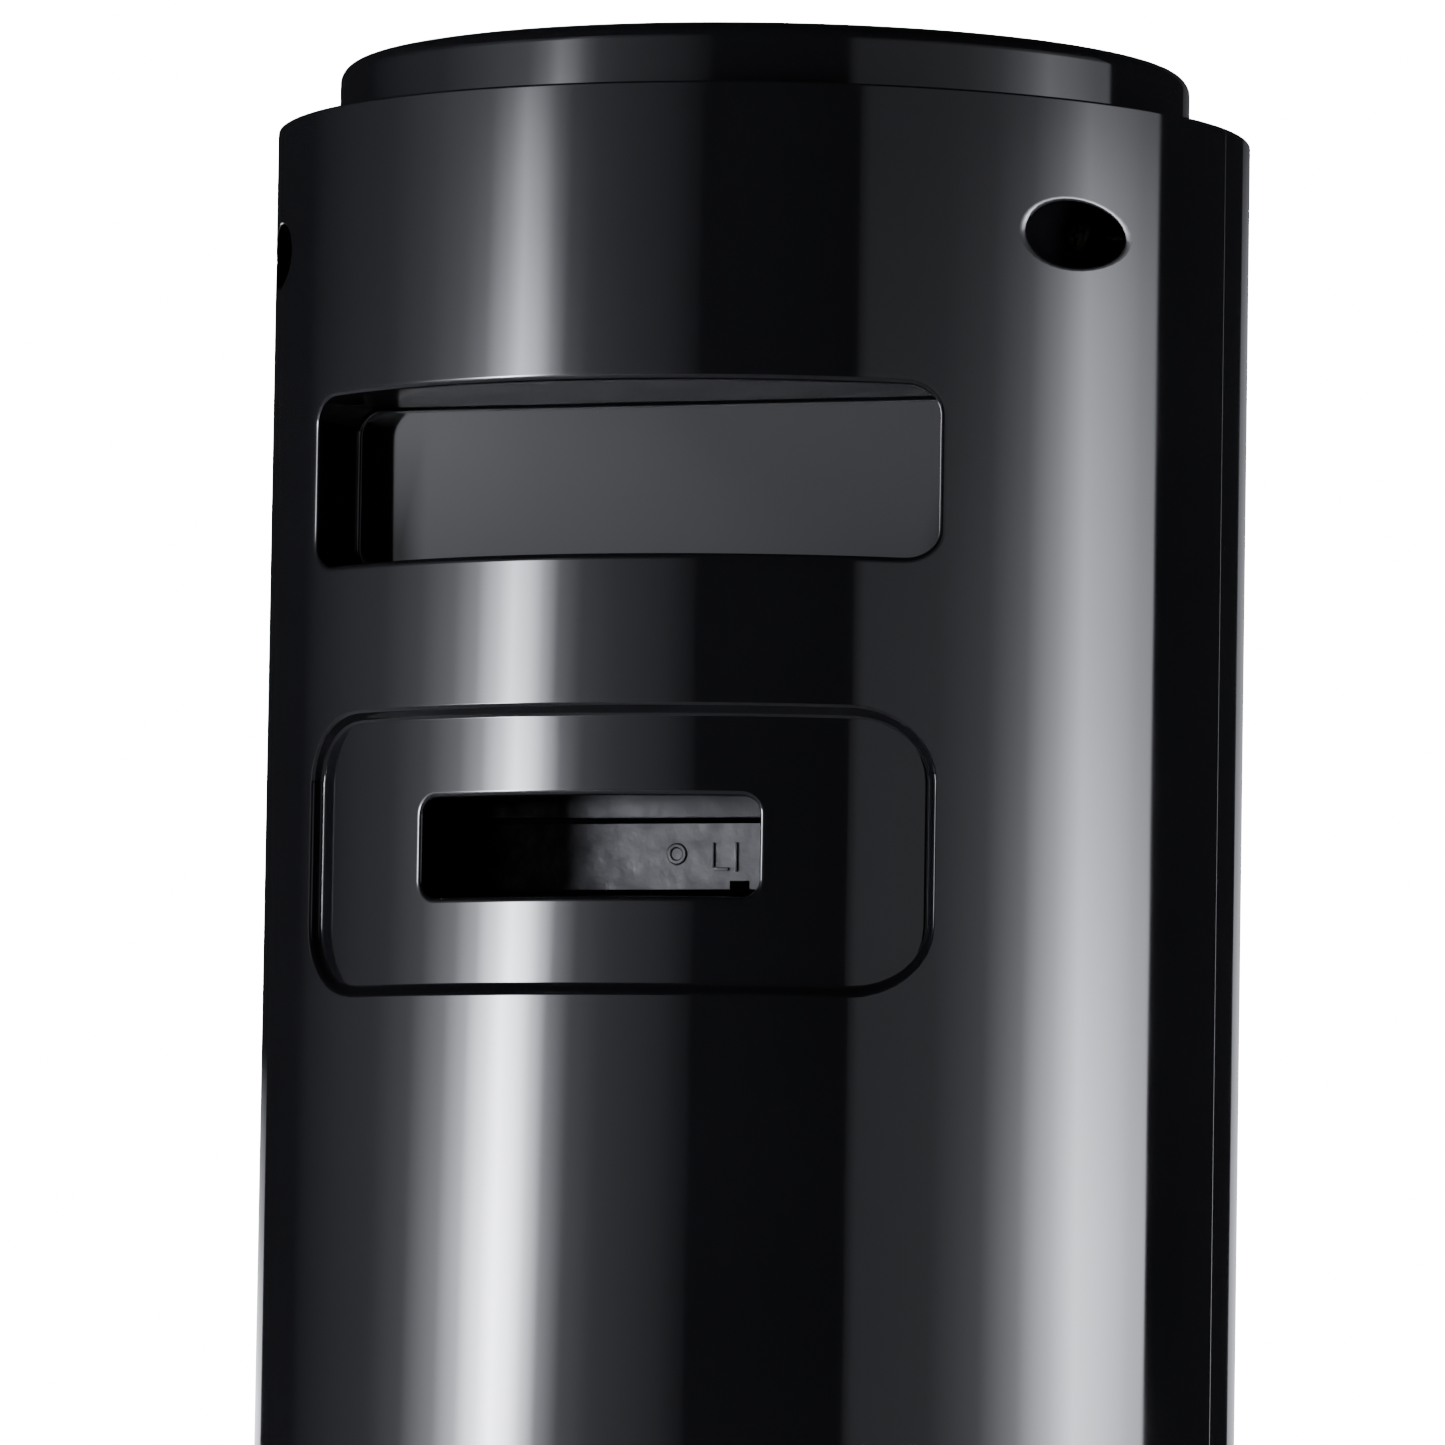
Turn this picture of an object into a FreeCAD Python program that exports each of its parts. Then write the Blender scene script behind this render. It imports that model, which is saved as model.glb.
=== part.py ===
"""Tower air purifier: a round column on a weighted disc base.

Frame: millimetres, +Z up, origin on the floor at the centre of the base.  The air outlet faces -Y (the
front); the filter door, the carry-handle pocket and the remote slot are on +Y (the rear).

Air comes in through the louvred door, crosses the prefilter and the HEPA cartridge that ride in the door,
passes the windows of the filter bay into the front plenum, rises to the intake of a centrifugal fan, and
leaves by the outlet duct and its grille.
"""
import FreeCAD
import Part
import math
import os
import re

import Sketcher

DIMENSIONS = {
    # column
    "body_radius": 90.0,
    "shell_wall": 2.6,
    "rim_height": 700.0,
    "ledge_height": 34.0,
    "seam_gap": 0.3,
    "fit_gap": 0.3,
    "flange_width": 13.4,
    "flange_thickness": 3.0,
    "rib_wall": 2.0,
    # carry-handle pocket, measured down from the rim
    "handle_half": 59.8,
    "handle_drop": 53.0,
    "handle_tall": 30.7,
    "handle_depth": 41.0,
    "handle_corner": 5.0,
    "handle_wall": 2.2,
    # shallow recess and the remote slot in its floor
    "recess_half": 60.3,
    "recess_drop": 110.0,
    "recess_tall": 51.8,
    "recess_corner": 13.0,
    "recess_depth": 2.6,
    "slot_half": 32.2,
    "slot_drop": 126.4,
    "slot_tall": 17.7,
    "slot_corner": 3.0,
    "pocket_depth": 19.0,
    "pocket_below": 50.0,
    "pocket_wall": 1.8,
    # screw wells and bosses
    "well_inset": 13.0,
    "well_drop": 24.2,
    "well_radius": 5.9,
    "well_wall": 1.7,
    "well_seat": 12.0,
    "seat_thickness": 2.7,
    "low_well_rise": 20.0,
    "boss_radius": 5.0,
    "boss_root": 34.0,
    "screw_radius": 1.6,
    "screw_play": 0.05,
    "screw_hole": 2.0,
    "screw_length": 18.0,
    "head_radius": 3.6,
    "head_height": 2.2,
    # base
    "base_radius": 125.0,
    "base_side": 20.0,
    "base_wall": 3.0,
    "foot_radius": 9.0,
    "foot_height": 3.0,
    "foot_inset": 17.0,
    "base_boss_inset": 19.0,
    "plate_thickness": 3.0,
    "weight_inner": 40.0,
    "weight_inset": 29.0,
    "weight_height": 8.0,
    "base_screw_length": 12.0,
    # mains inlet, a two-pole appliance inlet
    "inlet_width": 16.4,
    "inlet_tall": 8.8,
    "inlet_deep": 11.0,
    "inlet_wall": 2.2,
    "inlet_height": 13.5,
    "pin_radius": 1.2,
    "pin_pitch": 8.6,
    "pin_length": 9.0,
    "flange_lip": 4.0,
    # filter door and what rides in it
    "door_half": 70.0,
    "door_low": 73.0,
    "door_headroom": 12.4,
    "door_gap": 0.6,
    "door_swing_gap": 3.4,
    "hinge_inset": 8.5,
    "hinge_rise": 1.5,
    "hinge_pin": 1.6,
    "hinge_play": 0.05,
    "lug_radius": 3.0,
    "lug_width": 5.5,
    "lug_start": 8.5,
    "louvre_pitch": 10.4,
    "louvre_slot": 5.2,
    "louvre_half": 19.0,
    "louvre_margin": 14.0,
    "mullion": 4.0,
    "shelf_rise": 5.5,
    "shelf_thickness": 2.5,
    "filter_half": 54.0,
    "filter_front": 30.0,
    "filter_thick": 31.5,
    "filter_frame": 4.0,
    "filter_tall": 314.0,
    "filter_play": 2.0,
    "gasket_thick": 6.5,
    "prefilter_thick": 3.0,
    "magnet_radius": 3.0,
    "magnet_thick": 3.0,
    "magnet_drop": 2.0,
    "magnet_gap": 0.6,
    "magnet_cup": 5.8,
    "catch_inset": 10.0,
    "catch_arm": 2.4,
    "catch_plate": 1.2,
    # filter bay
    "bay_plate": 20.0,
    "bay_wall": 2.5,
    "bay_play": 0.5,
    "bay_below": 9.0,
    "bay_drop": 0.9,
    "window_half": 46.0,
    "window_margin": 26.0,
    "bay_bar": 5.0,
    # fan
    "fan_shift": -6.0,
    "fan_below": 69.0,
    "wheel_radius": 45.0,
    "wheel_width": 60.0,
    "blade_depth": 9.0,
    "wheel_plate": 2.0,
    "wheel_back": 28.0,
    "blade_count": 32.0,
    "blade_thick": 1.2,
    "hub_radius": 9.0,
    "wheel_gap": 4.0,
    "scroll_step": 6.0,
    "scroll_wall": 2.0,
    "scroll_front_y": -38.0,
    "scroll_back_y": 34.0,
    "scroll_split": -2.0,
    "tongue": 14.0,
    "ear_face": -12.0,
    "inlet_ring_deep": 6.0,
    "motor_radius": 24.0,
    "motor_length": 30.0,
    "shaft_radius": 4.0,
    "shaft_play": 0.03,
    "bearing_radius": 7.0,
    "bearing_length": 7.0,
    "bush_radius": 4.0,
    "bush_length": 4.0,
    "bush_circle": 31.0,
    # outlet duct and grille
    "duct_drop": 28.0,
    "duct_tall": 127.0,
    "duct_half": 58.0,
    "duct_back": 40.0,
    "duct_inset": 26.0,
    "duct_wall": 2.5,
    "outlet_half": 47.0,
    "outlet_drop": 36.0,
    "outlet_tall": 111.0,
    "grille_frame": 3.0,
    "grille_depth": 4.0,
    "grille_fin": 1.6,
    "grille_pitch": 9.0,
    # top deck, cap and controls
    "deck_thickness": 2.6,
    "deck_ledge": 3.0,
    "tray_radius": 66.0,
    "tray_depth": 14.0,
    "cap_radius": 78.7,
    "cap_height": 12.3,
    "cap_round": 3.0,
    "cap_wall": 2.2,
    "cap_plate": 2.2,
    "overlay_radius": 66.0,
    "overlay_thick": 0.8,
    "button_radius": 6.5,
    "button_circle": 46.0,
    "button_step": 22.0,
    "button_flange": 8.0,
    "button_sink": 0.3,
    "button_travel": 1.0,
    "button_play": 0.3,
    "switch_size": 6.0,
    "switch_height": 3.5,
    "board_half": 40.0,
    "board_deep": 52.0,
    "board_thick": 1.6,
    "board_rise": 5.0,
    "display_half": 16.0,
    "display_near": 12.0,
    "display_deep": 13.0,
    "cap_screw_circle": 72.5,
    "cap_screw_length": 8.0,
    # power board and wiring
    "power_half_x": 45.0,
    "power_half_y": 30.0,
    "transformer_x": 14.0,
    "transformer_y": 12.0,
    "part_tall": 9.0,
    "capacitor_radius": 5.0,
    "capacitor_x": 26.0,
    "capacitor_pitch": 12.0,
    "header_wide": 7.0,
    "header_long": 10.0,
    "post_length": 2.4,
    "harness_radius": 2.5,
    "harness_inset": 26.0,
    "harness_y": 28.0,
    "harness_bend": 8.0,
    "deck_cable_x": 30.0,
}

# Sizes that follow from the driving dimensions, as expressions on the sheet.
INNER = "(body_radius - shell_wall)"
CORE = "(body_radius - shell_wall - fit_gap)"
SHELL_LOW = "(ledge_height + fit_gap)"
HANDLE_Y = "(body_radius - handle_depth)"
HANDLE_HIGH = "(rim_height - handle_drop)"
HANDLE_LOW = "(rim_height - handle_drop - handle_tall)"
RECESS_FLOOR = "(body_radius - recess_depth)"
SLOT_HIGH = "(rim_height - slot_drop)"
SLOT_LOW = "(rim_height - slot_drop - slot_tall)"
POCKET_Y = "(body_radius - recess_depth - pocket_depth)"
WELL_X = "(body_radius - well_inset)"
WELL_Z = "(rim_height - well_drop)"
LOW_WELL_Z = "(ledge_height + low_well_rise)"
PLATE_LOW = "foot_height"
PLATE_HIGH = "(foot_height + plate_thickness)"
COVER_UNDER = "(ledge_height - base_wall)"
BASE_BOSS_CIRCLE = "(base_radius - base_boss_inset)"
INLET_Y = "(base_radius - 2)"
INLET_OUT_X = "(inlet_width / 2 + inlet_wall)"
INLET_OUT_Z = "(inlet_tall / 2 + inlet_wall)"
COLUMN_CIRCLE = "(body_radius - shell_wall - flange_width / 2)"
HINGE_Y = "(body_radius - hinge_inset)"
HINGE_Z = "(door_low + hinge_rise)"
SHELF_LOW = "(door_low + shelf_rise)"
FILTER_LOW = "(door_low + shelf_rise + shelf_thickness + filter_play)"
FILTER_HIGH = "(door_low + shelf_rise + shelf_thickness + filter_play + filter_tall)"
FILTER_BACK = "(filter_front + filter_thick)"
DOOR_HIGH = "(door_low + shelf_rise + shelf_thickness + filter_play + filter_tall + door_headroom)"
MAGNET_Z = "(door_low + shelf_rise + shelf_thickness + filter_play + filter_tall - magnet_drop)"
CATCH_Y = "(filter_front + catch_inset + catch_arm)"
MAGNET_Y = "(filter_front + catch_inset + catch_arm + catch_plate + magnet_gap)"
RAIL_IN = "(filter_half + filter_play + 0.5)"
RAIL_OUT = "(filter_half + filter_play + 0.5 + rib_wall)"
BAY_FACE = "(bay_plate + bay_wall)"
BAY_WING = "(body_radius - well_inset + boss_radius - 2)"
BAY_HALF = "(door_half + bay_play + bay_wall)"
BAY_LOW = "(door_low - bay_below)"
BAY_HIGH = f"({DOOR_HIGH} - bay_drop)"
DUCT_HIGH = "(rim_height - duct_drop)"
DUCT_LOW = "(rim_height - duct_drop - duct_tall)"
OUTLET_HIGH = "(rim_height - outlet_drop)"
OUTLET_LOW = "(rim_height - outlet_drop - outlet_tall)"
FAN_Z = "(rim_height - duct_drop - duct_tall - fan_below)"
WHEEL_EYE = "(wheel_radius - blade_depth)"
HARNESS_X = "(body_radius - harness_inset)"
DECK_UNDER = "(rim_height - deck_thickness)"
TRAY_FLOOR = "(rim_height - tray_depth)"
BOARD_LOW = "(rim_height - tray_depth + rib_wall + board_rise)"
BOARD_HIGH = "(rim_height - tray_depth + rib_wall + board_rise + board_thick)"
CAP_LOW = "(rim_height + fit_gap)"
CAP_HIGH = "(rim_height + cap_height)"
OVERLAY_LOW = "(rim_height + cap_height - overlay_thick)"
CAP_UNDER = "(rim_height + cap_height - overlay_thick - cap_plate)"
EAR_HIGH = "(ear_face + bay_wall)"
FREE = 400
REAR_SEAM = -90
FRONT_SEAM = 90

# Heights of the boss pairs on the front shell, and where each boss ends along Y.
SHELL_BOSSES = [WELL_Z, LOW_WELL_Z]
BAY_BOSSES = [f"({BAY_LOW} + 36)", f"({BAY_HIGH} - 38.5)"]
EAR_BOSSES = {"scroll": [f"({FAN_Z} - 36)", f"({FAN_Z} + 30)"], "duct": [f"({DUCT_LOW} + 55)"]}
FOOT_ANGLES = range(30, 390, 60)
BOSS_ANGLES = range(0, 360, 60)
COLUMN_ANGLES = (50, 130, 230, 310)
CAP_ANGLES = (90, 210, 330)
BUSH_ANGLES = (90, 210, 330)
BUTTONS = ["light", "timer", "power", "speed", "reset"]

doc = FreeCAD.newDocument("air_purifier")


def make_sheet():
    """The sheet of driving dimensions: one plain number and one alias a row."""
    sheet = doc.addObject("Spreadsheet::Sheet", "dims")
    for row, (alias, value) in enumerate(DIMENSIONS.items(), start=1):
        sheet.set(f"A{row}", alias)
        sheet.set(f"B{row}", str(value))
        sheet.setAlias(f"B{row}", alias)
    doc.recompute()
    return sheet


def on_sheet(text):
    """An expression with each alias pointed at the sheet."""
    def point(word):
        return f"dims.{word[0]}" if word[0] in DIMENSIONS else word[0]
    return re.sub(r"[a-z][a-z_]*", point, str(text))


def number(text):
    """The present value of an expression, for code that lists or picks features."""
    return float(doc.dims.evalExpression(on_sheet(text)))


def bind(item, prop, text):
    """Bind one property to an expression on the sheet."""
    item.setExpression(prop, on_sheet(text))


def place(item, at):
    """Bind where an object's own origin lies."""
    for axis, text in zip("xyz", at):
        bind(item, f"Placement.Base.{axis}", text)


def block(name, x, y, z):
    """A box between (low, high) pairs along X, Y and Z."""
    item = doc.addObject("Part::Box", name)
    place(item, (x[0], y[0], z[0]))
    for prop, (low, high) in zip(("Length", "Width", "Height"), (x, y, z)):
        bind(item, prop, f"({high}) - ({low})")
    return item


TURNS = {
    "X": FreeCAD.Rotation(FreeCAD.Vector(0, 1, 0), 90),
    "Y": FreeCAD.Rotation(FreeCAD.Vector(1, 0, 0), -90),
    "Z": FreeCAD.Rotation(),
}


def rod(name, radius, span, at, along="Z", seam=0):
    """A cylinder from span[0] to span[1] along one axis; at gives its two other coordinates in order.

    seam turns the line where the round face closes on itself, in degrees about Z.
    """
    item = doc.addObject("Part::Cylinder", name)
    item.Placement.Rotation = FreeCAD.Rotation(FreeCAD.Vector(0, 0, 1), seam) * TURNS[along]
    spots = list(at)
    spots.insert("XYZ".index(along), span[0])
    place(item, spots)
    bind(item, "Radius", radius)
    bind(item, "Height", f"({span[1]}) - ({span[0]})")
    return item


def fused(name, items):
    """The union of several objects."""
    item = doc.addObject("Part::MultiFuse", name)
    item.Shapes = items
    item.Refine = True
    return item


def common(name, items):
    """What several objects share."""
    item = doc.addObject("Part::MultiCommon", name)
    item.Shapes = items
    return item


def cut(name, base, tools):
    """One object with others taken away."""
    item = doc.addObject("Part::Cut", name)
    item.Base = base
    item.Tool = tools[0] if len(tools) == 1 else fused(f"{name}_tools", tools)
    return item


def group(name, items):
    """Several alike solids kept as one sub-part."""
    item = doc.addObject("Part::Compound", name)
    item.Links = items
    return item


def tube(name, outer, inner, span, at=(0, 0), along="Z", seam=0):
    """A straight tube."""
    return cut(name, rod(f"{name}_outer", outer, span, at, along, seam),
               [rod(f"{name}_bore", inner, (f"{span[0]} - 1", f"{span[1]} + 1"), at, along, seam)])


def both_sides(name, x, make):
    """The same feature at -x and +x, from make(name, x)."""
    return [make(f"{name}_left", f"-({x})"), make(f"{name}_right", x)]


def sketch_on(body, name, role, points):
    """A closed outline on one of the body's own planes, each corner bound to the sheet."""
    outline = body.newObject("Sketcher::SketchObject", name)
    plane = [item for item in body.Origin.OriginFeatures if item.Role == role][0]
    outline.AttachmentSupport = [(plane, "")]
    outline.MapMode = "FlatFace"
    spots = [FreeCAD.Vector(number(across), number(up), 0) for across, up in points]
    count = len(points)
    for index in range(count):
        outline.addGeometry(Part.LineSegment(spots[index], spots[(index + 1) % count]), False)
    for index in range(count):
        outline.addConstraint(Sketcher.Constraint("Coincident", index, 2, (index + 1) % count, 1))
    for index, corner in enumerate(points):
        for kind, text, value in zip(("DistanceX", "DistanceY"), corner, spots[index]):
            row = outline.addConstraint(Sketcher.Constraint(kind, -1, 1, index, 1, value))
            bind(outline, f"Constraints[{row}]", text)
    return outline


def turned(name, points, role="XZ_Plane"):
    """A body turned about the sketch's vertical axis from a closed half profile."""
    body = doc.addObject("PartDesign::Body", name)
    outline = sketch_on(body, f"{name}_profile", role, points)
    turn = body.newObject("PartDesign::Revolution", f"{name}_turned")
    turn.Profile = outline
    turn.ReferenceAxis = (outline, ["V_Axis"])
    turn.Angle = 360
    doc.recompute()
    return body


def round_edges(body, name, radius, wanted):
    """A fillet on the edges of the body's last feature that wanted(edge) picks."""
    last = body.Tip
    edges = [f"Edge{row}" for row, edge in enumerate(last.Shape.Edges, start=1) if wanted(edge)]
    fillet = body.newObject("PartDesign::Fillet", name)
    fillet.Base = (last, edges)
    bind(fillet, "Radius", radius)
    doc.recompute()
    return body


def ring_at(radius, height):
    """Picks the round edge of one radius at one height."""
    def wanted(edge):
        curve = edge.Curve
        return (hasattr(curve, "Radius") and abs(curve.Radius - number(radius)) < 0.01
                and abs(curve.Center.z - number(height)) < 0.01)
    return wanted


def soft_block(name, x, y, z, corner):
    """A block whose four edges along Y are rounded."""
    body = doc.addObject("PartDesign::Body", name)
    solid = body.newObject("PartDesign::AdditiveBox", f"{name}_box")
    for prop, (low, high) in zip(("Length", "Width", "Height"), (x, y, z)):
        bind(solid, prop, f"({high}) - ({low})")
    place(body, (x[0], y[0], z[0]))
    doc.recompute()
    return round_edges(body, f"{name}_corners", corner,
                       lambda edge: abs(edge.tangentAt(edge.FirstParameter).y) > 0.99)


def half(name, base, tools, side):
    """One half of the column: what is left of base behind (+1) or in front of (-1) the seam."""
    if side > 0:
        away = block(f"{name}_other_half", (-FREE, FREE), (-FREE, "seam_gap / 2"), (-FREE, FREE * 3))
    else:
        away = block(f"{name}_other_half", (-FREE, FREE), ("-seam_gap / 2", FREE), (-FREE, FREE * 3))
    return cut(name, base, tools + [away])


def polar(radius, degrees):
    """A point on a circle about the Z axis, as a pair of expressions."""
    return (f"({radius}) * cos({degrees} deg)", f"({radius}) * sin({degrees} deg)")


def screw(name, at, seat, direction, along, length="screw_length"):
    """A pan-head screw whose head sits at seat and whose shank points the way of direction (+1 or -1)."""
    head = (seat, f"{seat} + head_height") if direction < 0 else (f"{seat} - head_height", seat)
    shank = (f"{seat} - ({length})", seat) if direction < 0 else (seat, f"{seat} + ({length})")
    return fused(name, [rod(f"{name}_head", "head_radius", head, at, along),
                        rod(f"{name}_shank", "screw_radius", shank, at, along)])


# ---------------------------------------------------------------- base

def base_cover():
    """The domed disc that carries the column, hollow underneath, with bosses for the bottom plate."""
    neck = "body_radius + 3"
    outline = [(0, "ledge_height"), (neck, "ledge_height"), ("base_radius - 6", "base_side + foot_height"),
               ("base_radius", "base_side - 3"), ("base_radius", PLATE_LOW),
               ("base_radius - base_wall", PLATE_LOW), ("base_radius - base_wall", "base_side - 4"),
               ("base_radius - 7", "base_side + foot_height - base_wall"), (neck, COVER_UNDER),
               (0, COVER_UNDER)]
    dome = turned("base_dome", outline)
    round_edges(dome, "base_dome_neck", 8, ring_at(neck, "ledge_height"))
    round_edges(dome, "base_dome_shoulder", 6, ring_at("base_radius - 6", "base_side + foot_height"))
    core = turned("base_dome_core", [(0, "ledge_height - 1"), (neck, "ledge_height - 1"),
                                     ("base_radius - 6", "base_side + foot_height - 1"),
                                     ("base_radius - 6", PLATE_LOW), (0, PLATE_LOW)])
    bosses = [rod(f"base_boss_{angle}", "boss_radius", (f"{PLATE_HIGH} + fit_gap", "ledge_height"),
                  polar(BASE_BOSS_CIRCLE, angle)) for angle in BOSS_ANGLES]
    bosses = [common("base_bosses", [fused("base_boss_set", bosses), core])]
    posts = [rod(f"power_post_{row}", "boss_radius - 1.5",
                 (f"{COVER_UNDER} - post_length", f"{COVER_UNDER} + 1"), (x, y))
             for row, (x, y) in enumerate(board_corners())]
    holes = [rod(f"base_pilot_{angle}", "screw_radius + screw_play",
                 (PLATE_HIGH, f"{PLATE_HIGH} + base_screw_length"), polar(BASE_BOSS_CIRCLE, angle))
             for angle in BOSS_ANGLES]
    holes += [rod(f"column_hole_{angle}", "screw_hole", ("base_side", "ledge_height + 1"),
                  polar(COLUMN_CIRCLE, angle)) for angle in COLUMN_ANGLES]
    holes.append(rod("base_cable_hole", "harness_radius + 1.5", ("base_side", "ledge_height + 1"),
                     (f"-{HARNESS_X}", "-harness_y")))
    holes.append(block("base_inlet_hole", (f"-({INLET_OUT_X} + fit_gap)", f"{INLET_OUT_X} + fit_gap"),
                       ("base_radius - 12", "base_radius + 5"),
                       (f"inlet_height - {INLET_OUT_Z} - fit_gap", f"inlet_height + {INLET_OUT_Z} + fit_gap")))
    return cut("base_cover", fused("base_cover_solid", [dome] + bosses + posts), holes)


def board_corners():
    """Where the four posts of the power board stand."""
    return [(x, y) for x in ("-(power_half_x - 5)", "power_half_x - 5")
            for y in ("-(power_half_y - 5)", "power_half_y - 5")]


def base_plate():
    """The flat bottom plate, screwed up into the bosses of the cover."""
    disc = rod("plate_disc", "base_radius - base_wall - fit_gap", (PLATE_LOW, PLATE_HIGH), (0, 0))
    holes = [rod(f"plate_hole_{angle}", "screw_hole", (0, f"{PLATE_HIGH} + 1"), polar(BASE_BOSS_CIRCLE, angle))
             for angle in BOSS_ANGLES]
    return cut("base_plate", disc, holes)


def base_weight():
    """A cast ring that keeps the tall column from tipping."""
    return tube("base_weight", "base_radius - weight_inset", "weight_inner",
                (PLATE_HIGH, f"{PLATE_HIGH} + weight_height"))


def rubber_feet():
    """Six pads under the bottom plate."""
    return group("rubber_feet", [rod(f"foot_{angle}", "foot_radius", (0, "foot_height"),
                                     polar("base_radius - foot_inset", angle)) for angle in FOOT_ANGLES])


def base_screws():
    """Six screws through the bottom plate into the cover's bosses."""
    return group("base_screws", [screw(f"base_screw_{angle}", polar(BASE_BOSS_CIRCLE, angle), PLATE_LOW, 1,
                                       "Z", "base_screw_length") for angle in BOSS_ANGLES])


def column_screws():
    """Four screws that come up through the base cover into the shells' bottom flanges."""
    length = "base_wall + fit_gap + flange_thickness"
    return group("column_screws", [screw(f"column_screw_{angle}", polar(COLUMN_CIRCLE, angle), COVER_UNDER, 1,
                                         "Z", length) for angle in COLUMN_ANGLES])


def mains_inlet():
    """The two-pole appliance inlet in the rear of the base, with its moulded case."""
    low = f"{INLET_Y} - inlet_deep - inlet_wall"
    case = block("inlet_case", (f"-{INLET_OUT_X}", INLET_OUT_X), (low, INLET_Y),
                 (f"inlet_height - {INLET_OUT_Z}", f"inlet_height + {INLET_OUT_Z}"))
    lip = block("inlet_lip", (f"-({INLET_OUT_X} + flange_lip)", f"{INLET_OUT_X} + flange_lip"),
                (low, f"{low} + 1.6"),
                (f"inlet_height - {INLET_OUT_Z}", f"inlet_height + {INLET_OUT_Z}"))
    cavity = soft_block("inlet_cavity", ("-inlet_width / 2", "inlet_width / 2"),
                        (f"{INLET_Y} - inlet_deep", f"{INLET_Y} + 1"),
                        ("inlet_height - inlet_tall / 2", "inlet_height + inlet_tall / 2"),
                        "inlet_tall / 2 - 0.1")
    bores = [rod(f"inlet_pin_bore_{side}", "pin_radius", (f"{low} - 1", INLET_Y),
                 (f"{side} * pin_pitch / 2", "inlet_height"), "Y") for side in (-1, 1)]
    return cut("mains_inlet", fused("inlet_solid", [case, lip]), [cavity] + bores)


def inlet_pins():
    """The two brass pins of the inlet."""
    low = f"{INLET_Y} - inlet_deep - inlet_wall"
    high = f"{INLET_Y} - inlet_deep + pin_length"
    return group("inlet_pins", [rod(f"inlet_pin_{side}", "pin_radius", (low, high),
                                    (f"{side} * pin_pitch / 2", "inlet_height"), "Y") for side in (-1, 1)])


def power_board():
    """The power supply board, hung on four posts under the base cover."""
    top = f"{COVER_UNDER} - post_length"
    return block("power_board", ("-power_half_x", "power_half_x"), ("-power_half_y", "power_half_y"),
                 (f"{top} - board_thick", top))


def power_parts():
    """The tall parts on the underside of the power board: transformer, capacitors and two headers."""
    top = f"{COVER_UNDER} - post_length - board_thick"
    transformer = block("transformer", ("-transformer_x", "transformer_x"), ("-transformer_y", "transformer_y"),
                        (f"{top} - part_tall", top))
    capacitors = [rod(f"capacitor_{row + 1}", "capacitor_radius", (f"{top} - part_tall", top),
                      ("capacitor_x", f"{row} * capacitor_pitch")) for row in (-1, 0, 1)]
    headers = [block(f"header_{row}", ("-power_half_x + 2", "-power_half_x + 2 + header_wide"),
                     (y, f"{y} + header_long"), (f"{top} - part_tall + 2", top))
               for row, y in enumerate(("-header_long - 2", "4"))]
    return group("power_parts", [transformer] + capacitors + headers)


# ---------------------------------------------------------------- column shells

def shell_skin(name, seam):
    """The round wall, its bottom flange and the ledge that holds the top deck; seam faces the other half."""
    wall = tube(f"{name}_wall", "body_radius", INNER, (SHELL_LOW, "rim_height"), seam=seam)
    flange = tube(f"{name}_flange", f"{INNER} + 0.5", f"{INNER} - flange_width",
                  (SHELL_LOW, f"{SHELL_LOW} + flange_thickness"), seam=seam)
    ledge = tube(f"{name}_ledge", f"{INNER} + 0.5", f"{INNER} - deck_ledge",
                 (f"{DECK_UNDER} - fit_gap - deck_thickness", f"{DECK_UNDER} - fit_gap"), seam=seam)
    return [wall, flange, ledge]


def column_holes(name):
    """Pilot holes in the bottom flange for the column screws."""
    return [rod(f"{name}_pilot_{angle}", "screw_radius + screw_play",
                (f"{SHELL_LOW} - 1", f"{SHELL_LOW} + flange_thickness + 1"),
                polar(COLUMN_CIRCLE, angle)) for angle in COLUMN_ANGLES]


def wells():
    """The tubes, bores and seats of the four screw wells, as (solids, tools)."""
    solids, tools = [], []
    for row, height in enumerate(SHELL_BOSSES):
        for side in (-1, 1):
            at = (f"{side} * {WELL_X}", height)
            tag = f"{row}_{'left' if side < 0 else 'right'}"
            solids.append(rod(f"well_tube_{tag}", "well_radius + well_wall",
                              ("well_seat - seat_thickness", "body_radius"), at, "Y"))
            tools.append(rod(f"well_bore_{tag}", "well_radius", ("well_seat", "body_radius + 5"), at, "Y"))
            tools.append(rod(f"well_hole_{tag}", "screw_hole", (0, "well_seat + 1"), at, "Y"))
    return solids, tools


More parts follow.
